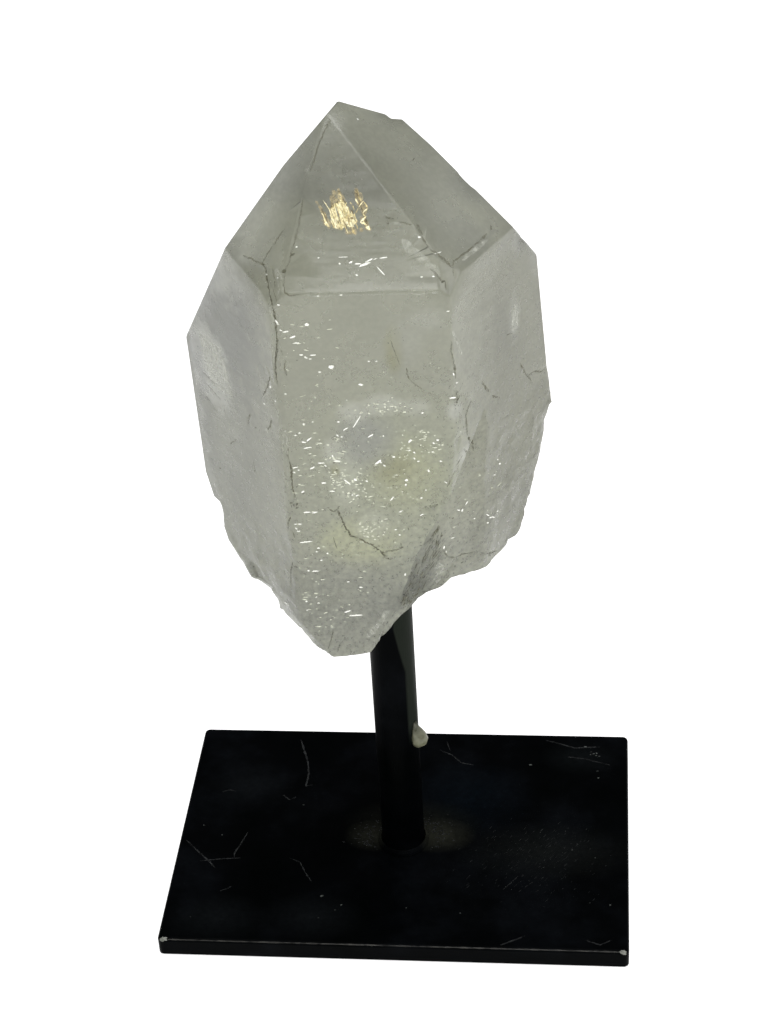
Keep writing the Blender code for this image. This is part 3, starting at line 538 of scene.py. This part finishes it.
# a strip along a line, lifted off the skin by so many mm; castAt gives the skin point and normal for (x, z)
def layStrip(bm, castAt, points, width, lift, blunt=False, waver=0.3, jitter=0.0):
    sides = []
    samples = alongLine(points, max(0.35, width * 0.7))
    total = len(samples) - 1
    for index, (x, z) in enumerate(samples):
        x0, z0 = samples[max(0, index - 1)]
        x1, z1 = samples[min(total, index + 1)]
        length = math.hypot(x1 - x0, z1 - z0) or 1.0
        across = (-(z1 - z0) / length, (x1 - x0) / length)
        ends = 1.0 if blunt else min(1.0, 0.25 + 2.2 * math.sin(math.pi * index / max(1, total)))
        half = width / 2 * ends * chance.uniform(1 - waver, 1 + waver)
        slip = chance.uniform(-0.3, 0.3) * width * waver + chance.uniform(-jitter, jitter)
        pair = []
        for side in (-1, 1):
            off = slip + side * half
            place, normal = castAt(x + across[0] * off, z + across[1] * off)
            if place is None:
                break
            pair.append(place + normal * lift * mm)
        if len(pair) == 2:
            sides.append(pair)
    if len(sides) < 2:
        return
    grid = bmesh.ops.create_grid(bm, x_segments=len(sides) - 1, y_segments=1, size=1.0)["verts"]
    for index, pair in enumerate(sides):
        grid[index].co = pair[0]
        grid[index + len(sides)].co = pair[1]


# a small flat chip with uneven sides, lying on the skin from one end to the other
def layChip(bm, castAt, start, end, width, lift, sidesCount=6, uneven=0.2):
    place0, normal0 = castAt(*start)
    place1, normal1 = castAt(*end)
    if place0 is None or place1 is None or (place1 - place0).length > 6 * mm:
        return
    normal = (normal0 + normal1).normalized()
    middle = (place0 + place1) / 2
    along = place1 - place0
    half = along.length / 2 + width / 2 * mm
    flat = Vector((1.0, 0.0, 0.0)).cross(normal).cross(normal)
    along = (along if along.length > 1e-6 else flat).normalized()
    side = normal.cross(along).normalized()
    ring = bmesh.ops.create_circle(bm, cap_ends=True, segments=sidesCount, radius=1.0)["verts"]
    for vertex in ring:
        stretch = 1 + chance.uniform(-uneven, uneven)
        vertex.co = middle + normal * lift * mm + (
            along * vertex.co.x * half + side * vertex.co.y * width / 2 * mm) * stretch


# a chip of that length with its middle at (x, z), which leans by so much sideways for each step down
def layLeaning(bm, castAt, x, z, length, lean, width, lift, sidesCount, uneven):
    down = length / 2 / math.hypot(1.0, lean)
    upper, lower = (x - lean * down, z + down), (x + lean * down, z - down)
    layChip(bm, castAt, upper, lower, width, lift, sidesCount, uneven)


def finishThin(name, bm, material, thick):
    bmesh.ops.recalc_face_normals(bm, faces=bm.faces[:])
    bmesh.ops.solidify(bm, geom=bm.faces[:], thickness=thick * mm)
    piece = finishPiece(name, bm, material)
    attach(piece, "root")
    return piece


def crystalAt(x, z):
    return castFront(crystalSkin, x, z)


def insideOutline(x, z, outline):
    inside = False
    for (x0, z0), (x1, z1) in zip(outline, outline[1:] + outline[:1]):
        if (z0 > z) != (z1 > z) and x < (x1 - x0) * (z - z0) / (z1 - z0) + x0:
            inside = not inside
    return inside


# places spread by chance over an outline
def scatter(outline, count):
    xs, zs = [x for x, z in outline], [z for x, z in outline]
    found = []
    while len(found) < count:
        x, z = chance.uniform(min(xs), max(xs)), chance.uniform(min(zs), max(zs))
        if insideOutline(x, z, outline):
            found.append((x, z))
    return found


crackSettings = {
    "openWidth": 0.28,  # lines from this width up are open cracks, the rest are hairlines
    "lift": 0.03,
    # the crease between the front body and the right lobe, filled with dark streaks of painted shade
    "shadedCreaseOutline": [(12.9, 104.4), (13.8, 101.0), (12.6, 95.5), (9.6, 90.0), (6.6, 86.8), (4.9, 88.0),
                      (6.2, 92.5), (9.2, 98.5)],
    "creaseShadeStreaks": 150,
    "creaseLean": -0.45,
    "creaseLengths": (0.5, 2.6),
    "creaseWidths": (0.10, 0.32),
}


def makeDarkLines():
    s = crackSettings
    # dirt and shadow in open cracks, broken up along the line
    openDirt = newFilm("Dirt in open cracks", "#4A4A3A", "#6E6C58", 0.77, (0.6, 0.8), 0.06, 0.62)
    # a hairline is a fine grey trace that comes and goes; the same film paints the shade in the crease
    hairline = newFilm("Dirt in hairline cracks and painted shade in the crease", "#5C5B4A", "#7C7A66", 0.91, (0.6, 0.8), 0.02, 0.34)
    wide, fine = bmesh.new(), bmesh.new()
    for width, points in darkLines:
        if width >= s["openWidth"]:
            layStrip(wide, crystalAt, points, width * 0.9, s["lift"], waver=0.6, jitter=0.10)
        else:
            layStrip(fine, crystalAt, points, width * 1.2, s["lift"], waver=0.4, jitter=0.06)
    for x, z, radius in darkPits:
        start, end = (x - radius * 0.5, z), (x + radius * 0.5, z + radius * 0.3)
        layChip(wide, crystalAt, start, end, radius * 0.9, s["lift"], 8, 0.4)
    finishThin("openCracks", wide, openDirt, 0.015)
    # dark streaks across the crease: painted shade
    for x, z in scatter(s["shadedCreaseOutline"], s["creaseShadeStreaks"]):
        length = chance.uniform(*s["creaseLengths"])
        lean = s["creaseLean"] + chance.uniform(-0.35, 0.35)
        layLeaning(fine, crystalAt, x, z, length, lean, chance.uniform(*s["creaseWidths"]), s["lift"], 6, 0.4)
    finishThin("hairlinesAndCreaseShade", fine, hairline, 0.015)


def makePaleBands():
    # worn edges and healed steps, frosted white and mostly see-through
    frosted = newFilm("Frosted worn edge", "#D2D4C8", "#E6E8DC", 1.25, (0.4, 0.6), 0.02, 0.20)
    bm = bmesh.new()
    for width, blunt, points in paleBands:
        layStrip(bm, crystalAt, points, width, 0.025, blunt, 0.12 if width > 3 else 0.25)
    finishThin("paleBands", bm, frosted, 0.01)


fleckSettings = {
    # each cluster is of faint painted glints on small fractures
    "dust": [  # centre x, z, radii, count, smallest and largest width in mm, share of long dashes
        (-4.8, 124.5, 2.0, 6.0, 54, 0.12, 0.36, 0.15),
        (-1.8, 119.2, 3.8, 3.4, 54, 0.12, 0.36, 0.15),
        (1.1, 109.6, 2.8, 2.8, 42, 0.12, 0.34, 0.15),
        (11.0, 128.3, 4.6, 3.2, 44, 0.12, 0.34, 0.15),
        (5.0, 124.0, 9.5, 9.5, 70, 0.10, 0.26, 0.15),
        (4.5, 112.0, 8.5, 7.5, 56, 0.10, 0.26, 0.15),
        (-10.0, 125.0, 3.5, 15.0, 40, 0.12, 0.26, 0.7),
        (-7.0, 97.0, 7.0, 11.0, 66, 0.10, 0.26, 0.35),
        (-9.5, 89.5, 6.0, 5.0, 26, 0.12, 0.26, 0.3),
        (-8.0, 150.0, 5.5, 9.0, 22, 0.10, 0.24, 0.7),
        (20.0, 106.0, 5.5, 9.0, 28, 0.12, 0.26, 0.2),
        (4.0, 140.0, 12.0, 12.0, 26, 0.10, 0.22, 0.2),
        (4.5, 136.6, 6.0, 1.6, 34, 0.12, 0.40, 0.15),
        (-24.0, 115.0, 6.0, 16.0, 16, 0.10, 0.20, 0.2),
    ],
}


def makeFlecks():
    # small flat fractures painted bright as glints: painted highlights for light sent straight back
    bright = newMaterial("Painted glint on a flat fracture", "#E2E4D8", "#FFFFF8", 1.11, (0.2, 0.4), 0.4)[0]
    pale = newMaterial("Painted faint glint on a flat fracture", "#C6C9B4", "#E2E5D0", 1.11, (0.3, 0.5), 0.12)[0]
    bm = bmesh.new()
    for x0, z0, x1, z1, width in flecks:
        layChip(bm, crystalAt, (x0, z0), (x1, z1), width * 0.85, 0.04, 7, 0.25)
    finishThin("paintedGlints", bm, bright, 0.02)
    # fainter painted glints in clusters over the skin
    bm = bmesh.new()
    for x, z, wide, high, count, least, most, dashes in fleckSettings["dust"]:
        for _ in range(count):
            angle = chance.uniform(0, 2 * math.pi)
            out = math.sqrt(chance.random())
            cx, cz = x + wide * out * math.cos(angle), z + high * out * math.sin(angle)
            width = chance.uniform(least, most)
            dash = chance.random() < dashes
            length = width * (chance.uniform(2.0, 4.0) if dash else chance.uniform(0.1, 1.0))
            tilt = chance.uniform(-0.3, 0.3)
            dx, dz = length / 2 * math.cos(tilt), length / 2 * math.sin(tilt)
            layChip(bm, crystalAt, (cx - dx, cz - dz), (cx + dx, cz + dz), width, 0.03, 5, 0.3)
    finishThin("paintedFaintGlints", bm, pale, 0.015)


# streaks of painted sheen on a thin fracture: gold and cream painted highlights, painted shade between them
# and a faint painted glow round them
goldSettings = {
    "mass": [
        [(-4.0, 172.6), (-3.2, 173.2), (-2.0, 173.6), (-0.9, 173.2), (-0.4, 172.1), (0.7, 171.7),
         (0.9, 170.6), (0.1, 169.8), (-1.1, 170.1), (-1.8, 169.5), (-3.3, 169.9), (-3.8, 171.1)],
    ],
    "fringes": [
        [(-4.3, 173.4), (-3.4, 175.3), (-2.4, 175.2), (-1.7, 174.3), (-0.9, 173.3), (-0.4, 172.2),
         (-2.0, 172.9), (-3.9, 172.5)],
        [(0.3, 175.3), (1.1, 175.1), (2.0, 174.0), (2.8, 172.9), (2.7, 172.0), (2.1, 171.3),
         (2.8, 170.6), (3.4, 169.5), (1.2, 169.3), (1.4, 170.6), (1.9, 172.0), (1.1, 172.6), (0.6, 173.8)],
        [(-1.8, 170.3), (0.1, 170.0), (1.0, 169.5), (0.7, 168.8), (-0.8, 169.0)],
        [(-6.4, 173.7), (-5.8, 173.2), (-4.1, 171.1), (-3.8, 169.9), (-4.7, 170.2), (-5.4, 171.0),
         (-5.5, 172.2)],
    ],
    # fill streaks of each layer: where, how many in each outline, widths and lengths in mm
    "fill": {
        "goldVeil": [("fringes", (46, 46, 18, 22), (0.25, 0.60), (0.7, 2.0)),
                     ("mass", (40,), (0.3, 0.7), (0.8, 2.2))],
        "goldFlash": [("mass", (90,), (0.08, 0.20), (1.2, 2.8)),
                      ("fringes", (9, 10, 5, 5), (0.06, 0.14), (0.4, 1.2))],
        "creamFlash": [("mass", (120,), (0.08, 0.20), (1.2, 2.8))],
        "goldShade": [("mass", (20,), (0.05, 0.10), (0.8, 2.2))],
    },
    # single streaks: width, then x and z along the line, in mm
    "bright": [
        (0.20, [(-5.34, 171.96), (-4.94, 171.36), (-4.55, 170.64), (-3.93, 169.97)]),
        (0.34, [(-4.81, 170.54), (-4.27, 170.25)]),
        (0.10, [(-5.18, 173.78), (-4.48, 173.05), (-4.02, 172.45), (-3.69, 171.6), (-3.36, 170.64),
                (-3.27, 170.03)]),
        (0.18, [(-4.07, 172.59), (-3.78, 171.96), (-3.53, 171.12), (-3.35, 170.27)]),
        (0.20, [(-3.56, 172.81), (-3.18, 171.84), (-2.9, 170.88), (-2.72, 170.01)]),
        (0.18, [(0.6, 173.9), (0.84, 173.41), (1.15, 172.99)]),
        (0.20, [(1.17, 172.63), (1.52, 173.05), (2.03, 173.47)]),
        (0.18, [(2.8, 172.45), (2.29, 172.21), (1.94, 171.78)]),
        (0.18, [(1.94, 171.78), (2.32, 171.36), (2.4, 171.12)]),
        (0.24, [(2.59, 171.38), (1.97, 170.88), (1.46, 170.51)]),
        (0.34, [(1.54, 170.45), (2.13, 170.45), (2.59, 170.03)]),
        (0.55, [(2.48, 169.89), (3.28, 169.49)]),
        (0.22, [(-1.2, 170.15), (-0.95, 169.55), (-0.64, 169.06)]),
        (0.30, [(-0.21, 171.63), (0.17, 171.54), (0.61, 171.46)]),
        (0.30, [(-2.14, 173.78), (-1.74, 173.17), (-1.35, 172.57), (-0.89, 172.08)]),
    ],
    "gold": [
        (0.14, [(2.03, 173.47), (2.56, 172.93), (2.83, 172.45)]),
        (0.14, [(0.6, 171.72), (0.96, 172.21), (1.17, 172.57)]),
        (0.12, [(0.49, 170.64), (0.81, 170.15), (1.12, 169.55)]),
        (0.22, [(0.08, 169.67), (0.4, 169.06), (0.7, 168.8)]),
        (0.20, [(-2.54, 174.8), (-2.16, 174.44), (-1.93, 174.2)]),
        (0.16, [(-3.01, 173.41), (-2.38, 172.33), (-2.07, 171.72)]),
        (0.12, [(0.92, 171.24), (0.82, 170.64), (0.66, 170.15)]),
        (0.12, [(-0.42, 173.41), (0.2, 172.75), (0.44, 172.21)]),
        (0.20, [(0.49, 174.98), (1.02, 174.62)]),
    ],
    "shade": [
        (0.22, [(-2.4, 171.96), (-2.24, 171.58)]), (0.24, [(-1.43, 171.36), (-1.01, 171.22)]),
        (0.26, [(-0.27, 171.22), (0.33, 171.09)]), (0.16, [(-0.19, 172.33), (0.23, 171.84)]),
        (0.10, [(-3.27, 172.33), (-2.98, 171.6)]), (0.10, [(-1.79, 172.33), (-1.55, 171.72)]),
        (0.12, [(-2.48, 170.88), (-2.16, 170.27)]),
    ],
}


# fine streaks side by side over an outline, leaning to the right on their way down
def fillStreaks(bm, outline, count, widths, lengths, lift):
    for x, z in scatter(outline, count):
        length = chance.uniform(*lengths)
        lean = 0.38 - 0.03 * x + chance.uniform(-0.1, 0.1)
        while length > 0.2 and not (
                insideOutline(x - lean * length / 2, z + length / 2, outline)
                and insideOutline(x + lean * length / 2, z - length / 2, outline)):
            length *= 0.8
        layLeaning(bm, crystalAt, x, z, length, lean, chance.uniform(*widths), lift, 7, 0.35)


def makeGoldLayer(name, material, lift, strips=(), waver=0.6, jitter=0.04):
    s = goldSettings
    bm = bmesh.new()
    for where, counts, widths, lengths in s["fill"][name]:
        for outline, count in zip(s[where], counts):
            fillStreaks(bm, outline, count, widths, lengths, lift)
    for width, points in strips:
        layStrip(bm, crystalAt, points, width, lift, waver=waver, jitter=jitter)
    finishThin(name, bm, material, 0.012)


def makeGold():
    s = goldSettings
    # painted sheen of a thin open fracture: gold and cream highlight streaks with painted shade between them;
    # at its rim only a faint painted glow
    paintedGlow = newFilm("Painted glow round a thin fracture", "#B5A680", "#D6CAA2", 0.77, (0.3, 0.5), 0.0, 0.40)
    gold = newFilm("Painted gold sheen of a fracture", "#E6CE90", "#FFEFB2", 0.77, (0.25, 0.45), 0.15, 0.7)
    cream = newFilm("Painted cream sheen of a fracture", "#FFF0B0", "#FFFAD8", 0.77, (0.2, 0.4), 0.5, 1.0, 0.3)
    shade = newFilm("Shaded fracture wall", "#75603A", "#96835A", 0.77, (0.4, 0.6), 0.2, 0.9)
    makeGoldLayer("goldVeil", paintedGlow, 0.02)
    makeGoldLayer("goldFlash", gold, 0.035, s["gold"], 0.5)
    makeGoldLayer("creamFlash", cream, 0.05, s["bright"], jitter=0.05)
    makeGoldLayer("goldShade", shade, 0.065, s["shade"])


makeDarkLines()
makePaleBands()
makeFlecks()
makeGold()
print("crystal details made")

paintSettings = {
    "dark": "#010202",
    "light": "#040507",
    "haze": "#101316",
    "shine": 0.015,
    # sizes of the patterns in mm
    "cloudSize": 22.2,
    "dustSize": 1.11,
    "bumpSize": 2.0,
    "bumpDepth": 0.2,
    # a painted reflection down the rod's right side: colour, the way it faces, and heights in mm between
    # which its edge goes over from the first share of that way to the second, and its lower end fades in
    "glueStrip": "#20241F",
    "stripFaces": (0.930, -0.366),
    "stripEdgeHeights": (57.0, 69.0),
    "stripEdgeShares": (1.105, 0.80),
    "stripFade": (36.0, 42.0),
    "rodRadius": 4.75,
    # dusty places on the plate, and one bluish patch of painted reflection: middle and radii in mm, colour,
    # strength
    "dust": [
        ((-37.0, 15.0, 4.8), (10.0, 9.0, 6.0), "#16191B", 0.5),
        ((-18.0, -27.0, 4.8), (11.0, 7.0, 6.0), "#181B1D", 0.5),
        ((-39.0, -28.0, 4.8), (11.0, 7.0, 6.0), "#181B1D", 0.5),
        ((33.0, -5.0, 4.8), (21.0, 9.0, 6.0), "#191B19", 0.6),
        # bluish patch: painted reflection
        ((14.0, 12.0, 4.8), (15.0, 13.0, 6.0), "#0C141B", 0.6),
        ((-6.5, -1.0, 4.8), (6.5, 5.0, 6.0), "#34352D", 0.7),
        ((7.5, -0.5, 4.8), (8.5, 5.5, 6.0), "#34352D", 0.8),
        ((2.0, 3.0, 4.8), (15.0, 8.0, 6.0), "#24251F", 0.6),
        ((40.0, 27.0, 4.8), (9.0, 6.0, 6.0), "#16191A", 0.5),
    ],
}


# where the painted reflection lies on the rod: 1 on the strip and 0 off it
def glueStripShare(tree, place):
    s = paintSettings
    parts = addNode(tree, "ShaderNodeSeparateXYZ", inputs={0: place})
    faces = [share / (s["rodRadius"] * mm) for share in s["stripFaces"]]
    facing = addNode(tree, "ShaderNodeVectorMath", {"operation": "DOT_PRODUCT"}, {0: place, 1: (*faces, 0.0)})
    edge = addNode(tree, "ShaderNodeMapRange", inputs={
        "Value": parts.outputs["Z"],
        "From Min": s["stripEdgeHeights"][0] * mm, "From Max": s["stripEdgeHeights"][1] * mm,
        "To Min": s["stripEdgeShares"][0], "To Max": s["stripEdgeShares"][1]})
    over = addNode(tree, "ShaderNodeMath", {"operation": "SUBTRACT"}, {
        0: facing.outputs["Value"], 1: edge.outputs[0]})
    across = addNode(tree, "ShaderNodeMapRange", inputs={
        "Value": over.outputs[0], "From Min": -0.03, "From Max": 0.03})
    along = addNode(tree, "ShaderNodeMapRange", inputs={
        "Value": parts.outputs["Z"],
        "From Min": s["stripFade"][0] * mm, "From Max": s["stripFade"][1] * mm})
    return addNode(tree, "ShaderNodeMath", {"operation": "MULTIPLY"}, {
        0: across.outputs[0], 1: along.outputs[0]}).outputs[0]


def makePaint(name, onRod):
    s = paintSettings
    # black paint, handled and dusty: nearly no shine, grey haze in patches
    material, tree, shader, place, cloud, ground = newMaterial(
        name, s["dark"], s["light"], s["cloudSize"], (0.32, 0.5))
    shader.inputs["Specular IOR Level"].default_value = s["shine"]
    dust = addNode(tree, "ShaderNodeTexNoise", inputs={
        "Vector": place, "Scale": 1 / (s["dustSize"] * mm), "Detail": 4.0, "Roughness": 0.7})
    patch = addNode(tree, "ShaderNodeMapRange", inputs={"Value": cloud, "From Min": 0.5, "From Max": 0.75})
    dusty = addNode(tree, "ShaderNodeMath", {"operation": "MULTIPLY"}, {
        0: patch.outputs[0], 1: dust.outputs["Fac"]})
    colour = addNode(tree, "ShaderNodeMix", {"data_type": "RGBA"}, {
        0: dusty.outputs[0], 6: ground, 7: s["haze"]}).outputs[2]
    # on the rod a grey strip down its right side: painted reflection
    if onRod:
        colour = addNode(tree, "ShaderNodeMix", {"data_type": "RGBA"}, {
            0: glueStripShare(tree, place), 6: colour, 7: s["glueStrip"]}).outputs[2]
    else:
        for centre, radii, tint, strength in s["dust"]:
            near = addNode(tree, "ShaderNodeMapRange", inputs={
                "Value": awayFromPatch(tree, place, centre, radii),
                "From Min": 1.1, "From Max": 0.0, "To Max": strength * 1.6})
            share = addNode(tree, "ShaderNodeMath", {"operation": "MULTIPLY"}, {
                0: near.outputs[0], 1: dust.outputs["Fac"]})
            colour = addNode(tree, "ShaderNodeMix", {"data_type": "RGBA"}, {
                0: share.outputs[0], 6: colour, 7: tint}).outputs[2]
    tree.links.new(colour, shader.inputs["Base Color"])
    skin = addNode(tree, "ShaderNodeTexNoise", inputs={
        "Vector": place, "Scale": 1 / (s["bumpSize"] * mm), "Detail": 2.0})
    bump = addNode(tree, "ShaderNodeBump", inputs={
        "Height": skin.outputs["Fac"], "Strength": 0.15, "Distance": s["bumpDepth"] * mm})
    tree.links.new(bump.outputs[0], shader.inputs["Normal"])
    return material


glueSettings = {
    "dark": "#30322B",
    "low": "#565744",
    "high": "#7C7D66",
    "thinAbove": 42.5,  # heights in mm between which the drop thins out up the rod
    "thickBelow": 39.5,
    "slim": 0.82,  # share of the solid's size, shrunk towards the rod at this height
    "rootHeight": 38.8,
}


def makeGlue():
    s = glueSettings
    # hardened glue: olive grey and cloudy, darker where it thins out up the rod
    material, tree, shader, place, _, pale = newMaterial(
        "Hardened glue", s["low"], s["high"], 2.0, (0.25, 0.45))
    parts = addNode(tree, "ShaderNodeSeparateXYZ", inputs={0: place})
    thick = addNode(tree, "ShaderNodeMapRange", inputs={
        "Value": parts.outputs["Z"], "From Min": s["thinAbove"] * mm, "From Max": s["thickBelow"] * mm})
    colour = addNode(tree, "ShaderNodeMix", {"data_type": "RGBA"}, {
        0: thick.outputs[0], 6: s["dark"], 7: pale})
    tree.links.new(colour.outputs[2], shader.inputs["Base Color"])
    return material


def setMaterial(nodeName, material):
    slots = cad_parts[nodeName].data.materials
    slots.clear()
    slots.append(material)


def makeGlueDrop():
    # the drop as it hardened, a little slimmer than its solid
    s = glueSettings
    low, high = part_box("glue_drip")
    root = Vector((low[0], high[1], s["rootHeight"] * mm))
    bm = bmesh.new()
    bm.from_mesh(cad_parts["glue_drip"].data)
    bmesh.ops.remove_doubles(bm, verts=bm.verts[:], dist=1e-6)
    for vertex in bm.verts:
        vertex.co = root + (vertex.co - root) * s["slim"]
    piece = finishPiece("glueDrop", bm, makeGlue(), 40)
    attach(piece, "root")
    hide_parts("glue_drip")


platePaint = makePaint("Black paint on steel plate", False)
setMaterial("base_plate", platePaint)
setMaterial("weld_bead", platePaint)
setMaterial("rod", makePaint("Black paint on steel rod, with a painted reflection", True))
makeGlueDrop()

plateMarks = {
    "top": 4.8,
    "frontEdge": (-34.3, 4.1),  # y and z of the middle of its rounding, in mm
    "edgeRadius": 0.7,
    "edgeTurn": 70,
    "edgeReach": 49.6,
    "edgeSteps": 120,
    # half width of the painted highlight on the front edge, in mm
    "highlightHalf": 0.16,
    "scuffs": 190,
    "grit": 260,
    "rodAt": (0.3, -2.25),
    # scratches on the plate: width, then x and y along the line, in mm
    "scratches": [
        (0.30, [(-49.5, -4.0), (-45.7, -8.1), (-42.9, -11.0), (-41.5, -12.8)]),
        (0.26, [(-35.6, -0.9), (-36.9, -5.3), (-37.7, -7.6), (-37.7, -9.2)]),
        (0.22, [(-43.6, 12.3), (-42.1, 13.1), (-40.4, 12.8)]),
        (0.40, [(-27.2, 31.3), (-26.0, 27.7), (-24.6, 23.4), (-23.9, 19.2), (-24.1, 15.0), (-22.5, 15.4)]),
        (0.26, [(-29.1, 11.7), (-27.3, 10.1), (-26.0, 11.1)]),
        (0.22, [(8.0, 31.5), (8.9, 28.7)]),
        (0.30, [(31.4, 32.9), (35.0, 31.6), (38.5, 30.2), (44.4, 30.8)]),
        (0.16, [(23.4, -17.4), (25.3, -14.9), (26.6, -13.0)]),
        (0.16, [(28.2, -16.4), (30.0, -14.7)]),
        (0.20, [(-39.3, -20.0), (-37.6, -19.0), (-36.8, -18.3)]),
        (0.24, [(-24.9, -9.1), (-22.5, -10.3), (-21.0, -13.4), (-19.1, -16.5)]),
        (0.26, [(23.5, -34.0), (26.6, -32.3), (28.7, -31.1)]),
        (0.26, [(41.6, -31.8), (44.8, -33.1), (47.3, -31.6)]),
        (0.24, [(-45.3, -10.7), (-40.8, -9.9), (-36.1, -9.4)]),
        (0.24, [(6.5, 28.6), (9.5, 26.9), (12.0, 24.1), (14.7, 23.5)]),
        (0.28, [(36.9, 27.0), (40.9, 26.4), (46.8, 24.4)]),
    ],
    # chips at the front corners: x in mm, place on the rounding, size in mm
    "chips": [
        (-49.7, 0.1, 0.8), (-49.2, 0.3, 0.5), (-49.8, -0.3, 0.6), (-49.0, -0.1, 0.4), (49.9, 0.1, 0.6),
        (49.6, -0.2, 0.5), (50.0, -0.45, 0.5), (49.5, 0.3, 0.35), (49.1, 0.0, 0.25),
    ],
    # nicks in the top: x, y and size in mm
    "dots": [
        (42.3, 28.9, 0.5), (42.9, 28.3, 0.6), (43.5, 27.7, 0.5), (43.6, 28.5, 0.4), (42.2, 28.0, 0.35),
        (44.2, 27.4, 0.4), (40.9, 30.7, 0.6), (28.1, 23.9, 0.7), (43.8, 22.2, 0.45), (44.0, 19.8, 0.5),
        (-24.1, 18.8, 0.4), (-16.6, -20.7, 0.7), (-11.9, -23.3, 0.45), (-8.6, -4.0, 0.4),
        (14.4, -24.8, 0.3), (2.5, -23.7, 0.3), (-44.7, -28.1, 0.25), (-46.2, 1.0, 0.3), (-41.5, -2.1, 0.3),
        (-16.5, -27.4, 0.4), (-24.0, 8.5, 0.4), (-13.1, -24.9, 0.3), (46.9, -21.2, 0.35),
        (42.5, -20.7, 0.25), (38.4, -4.4, 0.35), (43.5, -6.7, 0.35),
    ],
}


# a point on the plate's top
def plateAt(x, y):
    return Vector((x * mm, y * mm, plateMarks["top"] * mm)), Vector((0.0, 0.0, 1.0))


# a point on the rounded front top edge: along runs from -0.5 to 0.5 over the arc
def plateFrontAt(x, along):
    s = plateMarks
    turn = math.radians(45 + along * s["edgeTurn"])
    normal = Vector((0.0, -math.cos(turn), math.sin(turn)))
    centre = Vector((x, *s["frontEdge"])) * mm
    return centre + normal * s["edgeRadius"] * mm, normal


def makePlateMarks():
    s = plateMarks
    # scuffs and scratches that dull the paint, nicks that cut it grey, and a painted highlight along the
    # rounded front edge
    faint = newFilm("Faint scratch in paint", "#101213", "#202324", 1.11, (0.45, 0.6), 0.15, 0.85)
    clear = newFilm("Clear nick in paint", "#2C2F2E", "#5C615D", 1.11, (0.45, 0.6), 0.2, 0.8)
    worn = newFilm("Painted highlight on the rounded front edge", "#141410", "#2C2B24", 2.0, (0.35, 0.5), 0.1, 0.85)
    bare = newMaterial("Bare steel at a chipped corner", "#5A5C54", "#8A8C84", 1.11, (0.35, 0.5))[0]
    bm = bmesh.new()
    for width, points in s["scratches"]:
        layStrip(bm, plateAt, points, width, 0.02, waver=0.4)
    for _ in range(s["scuffs"]):  # fine oblique scuffs right of the rod
        x, y = chance.triangular(10, 48, 34), chance.triangular(-24, 6, -6)
        length = chance.uniform(0.2, 1.1)
        layChip(bm, plateAt, (x, y), (x + length * 0.7, y + length), chance.uniform(0.05, 0.13), 0.02, 5, 0.3)
    rodX, rodY = s["rodAt"]
    for _ in range(s["grit"]):  # grit round the foot of the rod, not in front of it
        angle = chance.uniform(0, 2 * math.pi)
        out = 6.0 + abs(chance.gauss(0, 2.4))
        x, y = rodX + out * math.cos(angle) * 1.15, rodY + out * math.sin(angle) * 0.9
        if y > rodY - 4.5 + 0.2 * abs(x):
            layChip(bm, plateAt, (x, y), (x + 0.15, y), chance.uniform(0.12, 0.50), 0.02, 6, 0.4)
    finishThin("faintScratches", bm, faint, 0.01)
    bm = bmesh.new()
    for x, y, size in s["dots"]:
        layChip(bm, plateAt, (x, y), (x + size * 0.3, y), size * 0.8, 0.03, 7, 0.35)
    finishThin("clearNicks", bm, clear, 0.01)
    # a thin grey band on the rounded front edge: painted highlight
    bm = bmesh.new()
    steps = s["edgeSteps"]
    grid = bmesh.ops.create_grid(bm, x_segments=steps, y_segments=1, size=1.0)["verts"]
    for index in range(steps + 1):
        x = s["edgeReach"] * (2 * index / steps - 1)
        half = s["highlightHalf"] * chance.uniform(0.6, 1.2)
        for row, along in ((0, -half), (1, half)):
            place, normal = plateFrontAt(x, along)
            grid[index + row * (steps + 1)].co = place + normal * 0.02 * mm
    finishThin("paintedEdgeHighlight", bm, worn, 0.01)
    bm = bmesh.new()
    for x, along, size in s["chips"]:
        layChip(bm, plateFrontAt, (x - size * 0.3, along), (x + size * 0.3, along), size, 0.03, 8, 0.4)
    finishThin("chippedCorners", bm, bare, 0.015)


makePlateMarks()
print("stand made")

studioSettings = {
    "world": 0.18,
    "tableGlow": 0.64,
    "lamps": [  # name, place, size in m, watts
        ("softboxTop", (0.05, 0.00, 1.15), 0.9, 9.0),
        ("softboxFront", (0.14, -1.00, 0.80), 0.6, 4.6),
        ("softboxRight", (0.90, -0.35, 0.60), 0.6, 2.2),
    ],
}


def makeStudio():
    s = studioSettings
    bm = bmesh.new()
    bmesh.ops.create_grid(bm, x_segments=1, y_segments=1, size=3.0)
    # matt white table that glows a little, so that it stays white under soft light
    white, _, shader = newMaterial("Matt white table", "#F2F2F1", "#F6F6F5", 16.7, (0.85, 0.95))[:3]
    shader.inputs["Emission Color"].default_value = hexColour("#FFFFFF")
    shader.inputs["Emission Strength"].default_value = s["tableGlow"]
    finishPiece("floor", bm, white)
    world = bpy.data.worlds.new("studio")
    bpy.context.scene.world = world
    world.use_nodes = True
    world.node_tree.nodes["Background"].inputs["Color"].default_value = hexColour("#FAFAFB")
    world.node_tree.nodes["Background"].inputs["Strength"].default_value = s["world"]
    for name, place, size, power in s["lamps"]:
        lamp = bpy.data.lights.new(name, "AREA")
        lamp.size = size
        lamp.energy = power
        holder = bpy.data.objects.new(name, lamp)
        holder.location = place
        aim = Vector((0.0, 0.0, 0.1)) - Vector(place)
        holder.rotation_euler = aim.to_track_quat("-Z", "Y").to_euler()
        bpy.context.scene.collection.objects.link(holder)
    bpy.context.scene.view_settings.view_transform = "Standard"


makeStudio()
print("studio made")
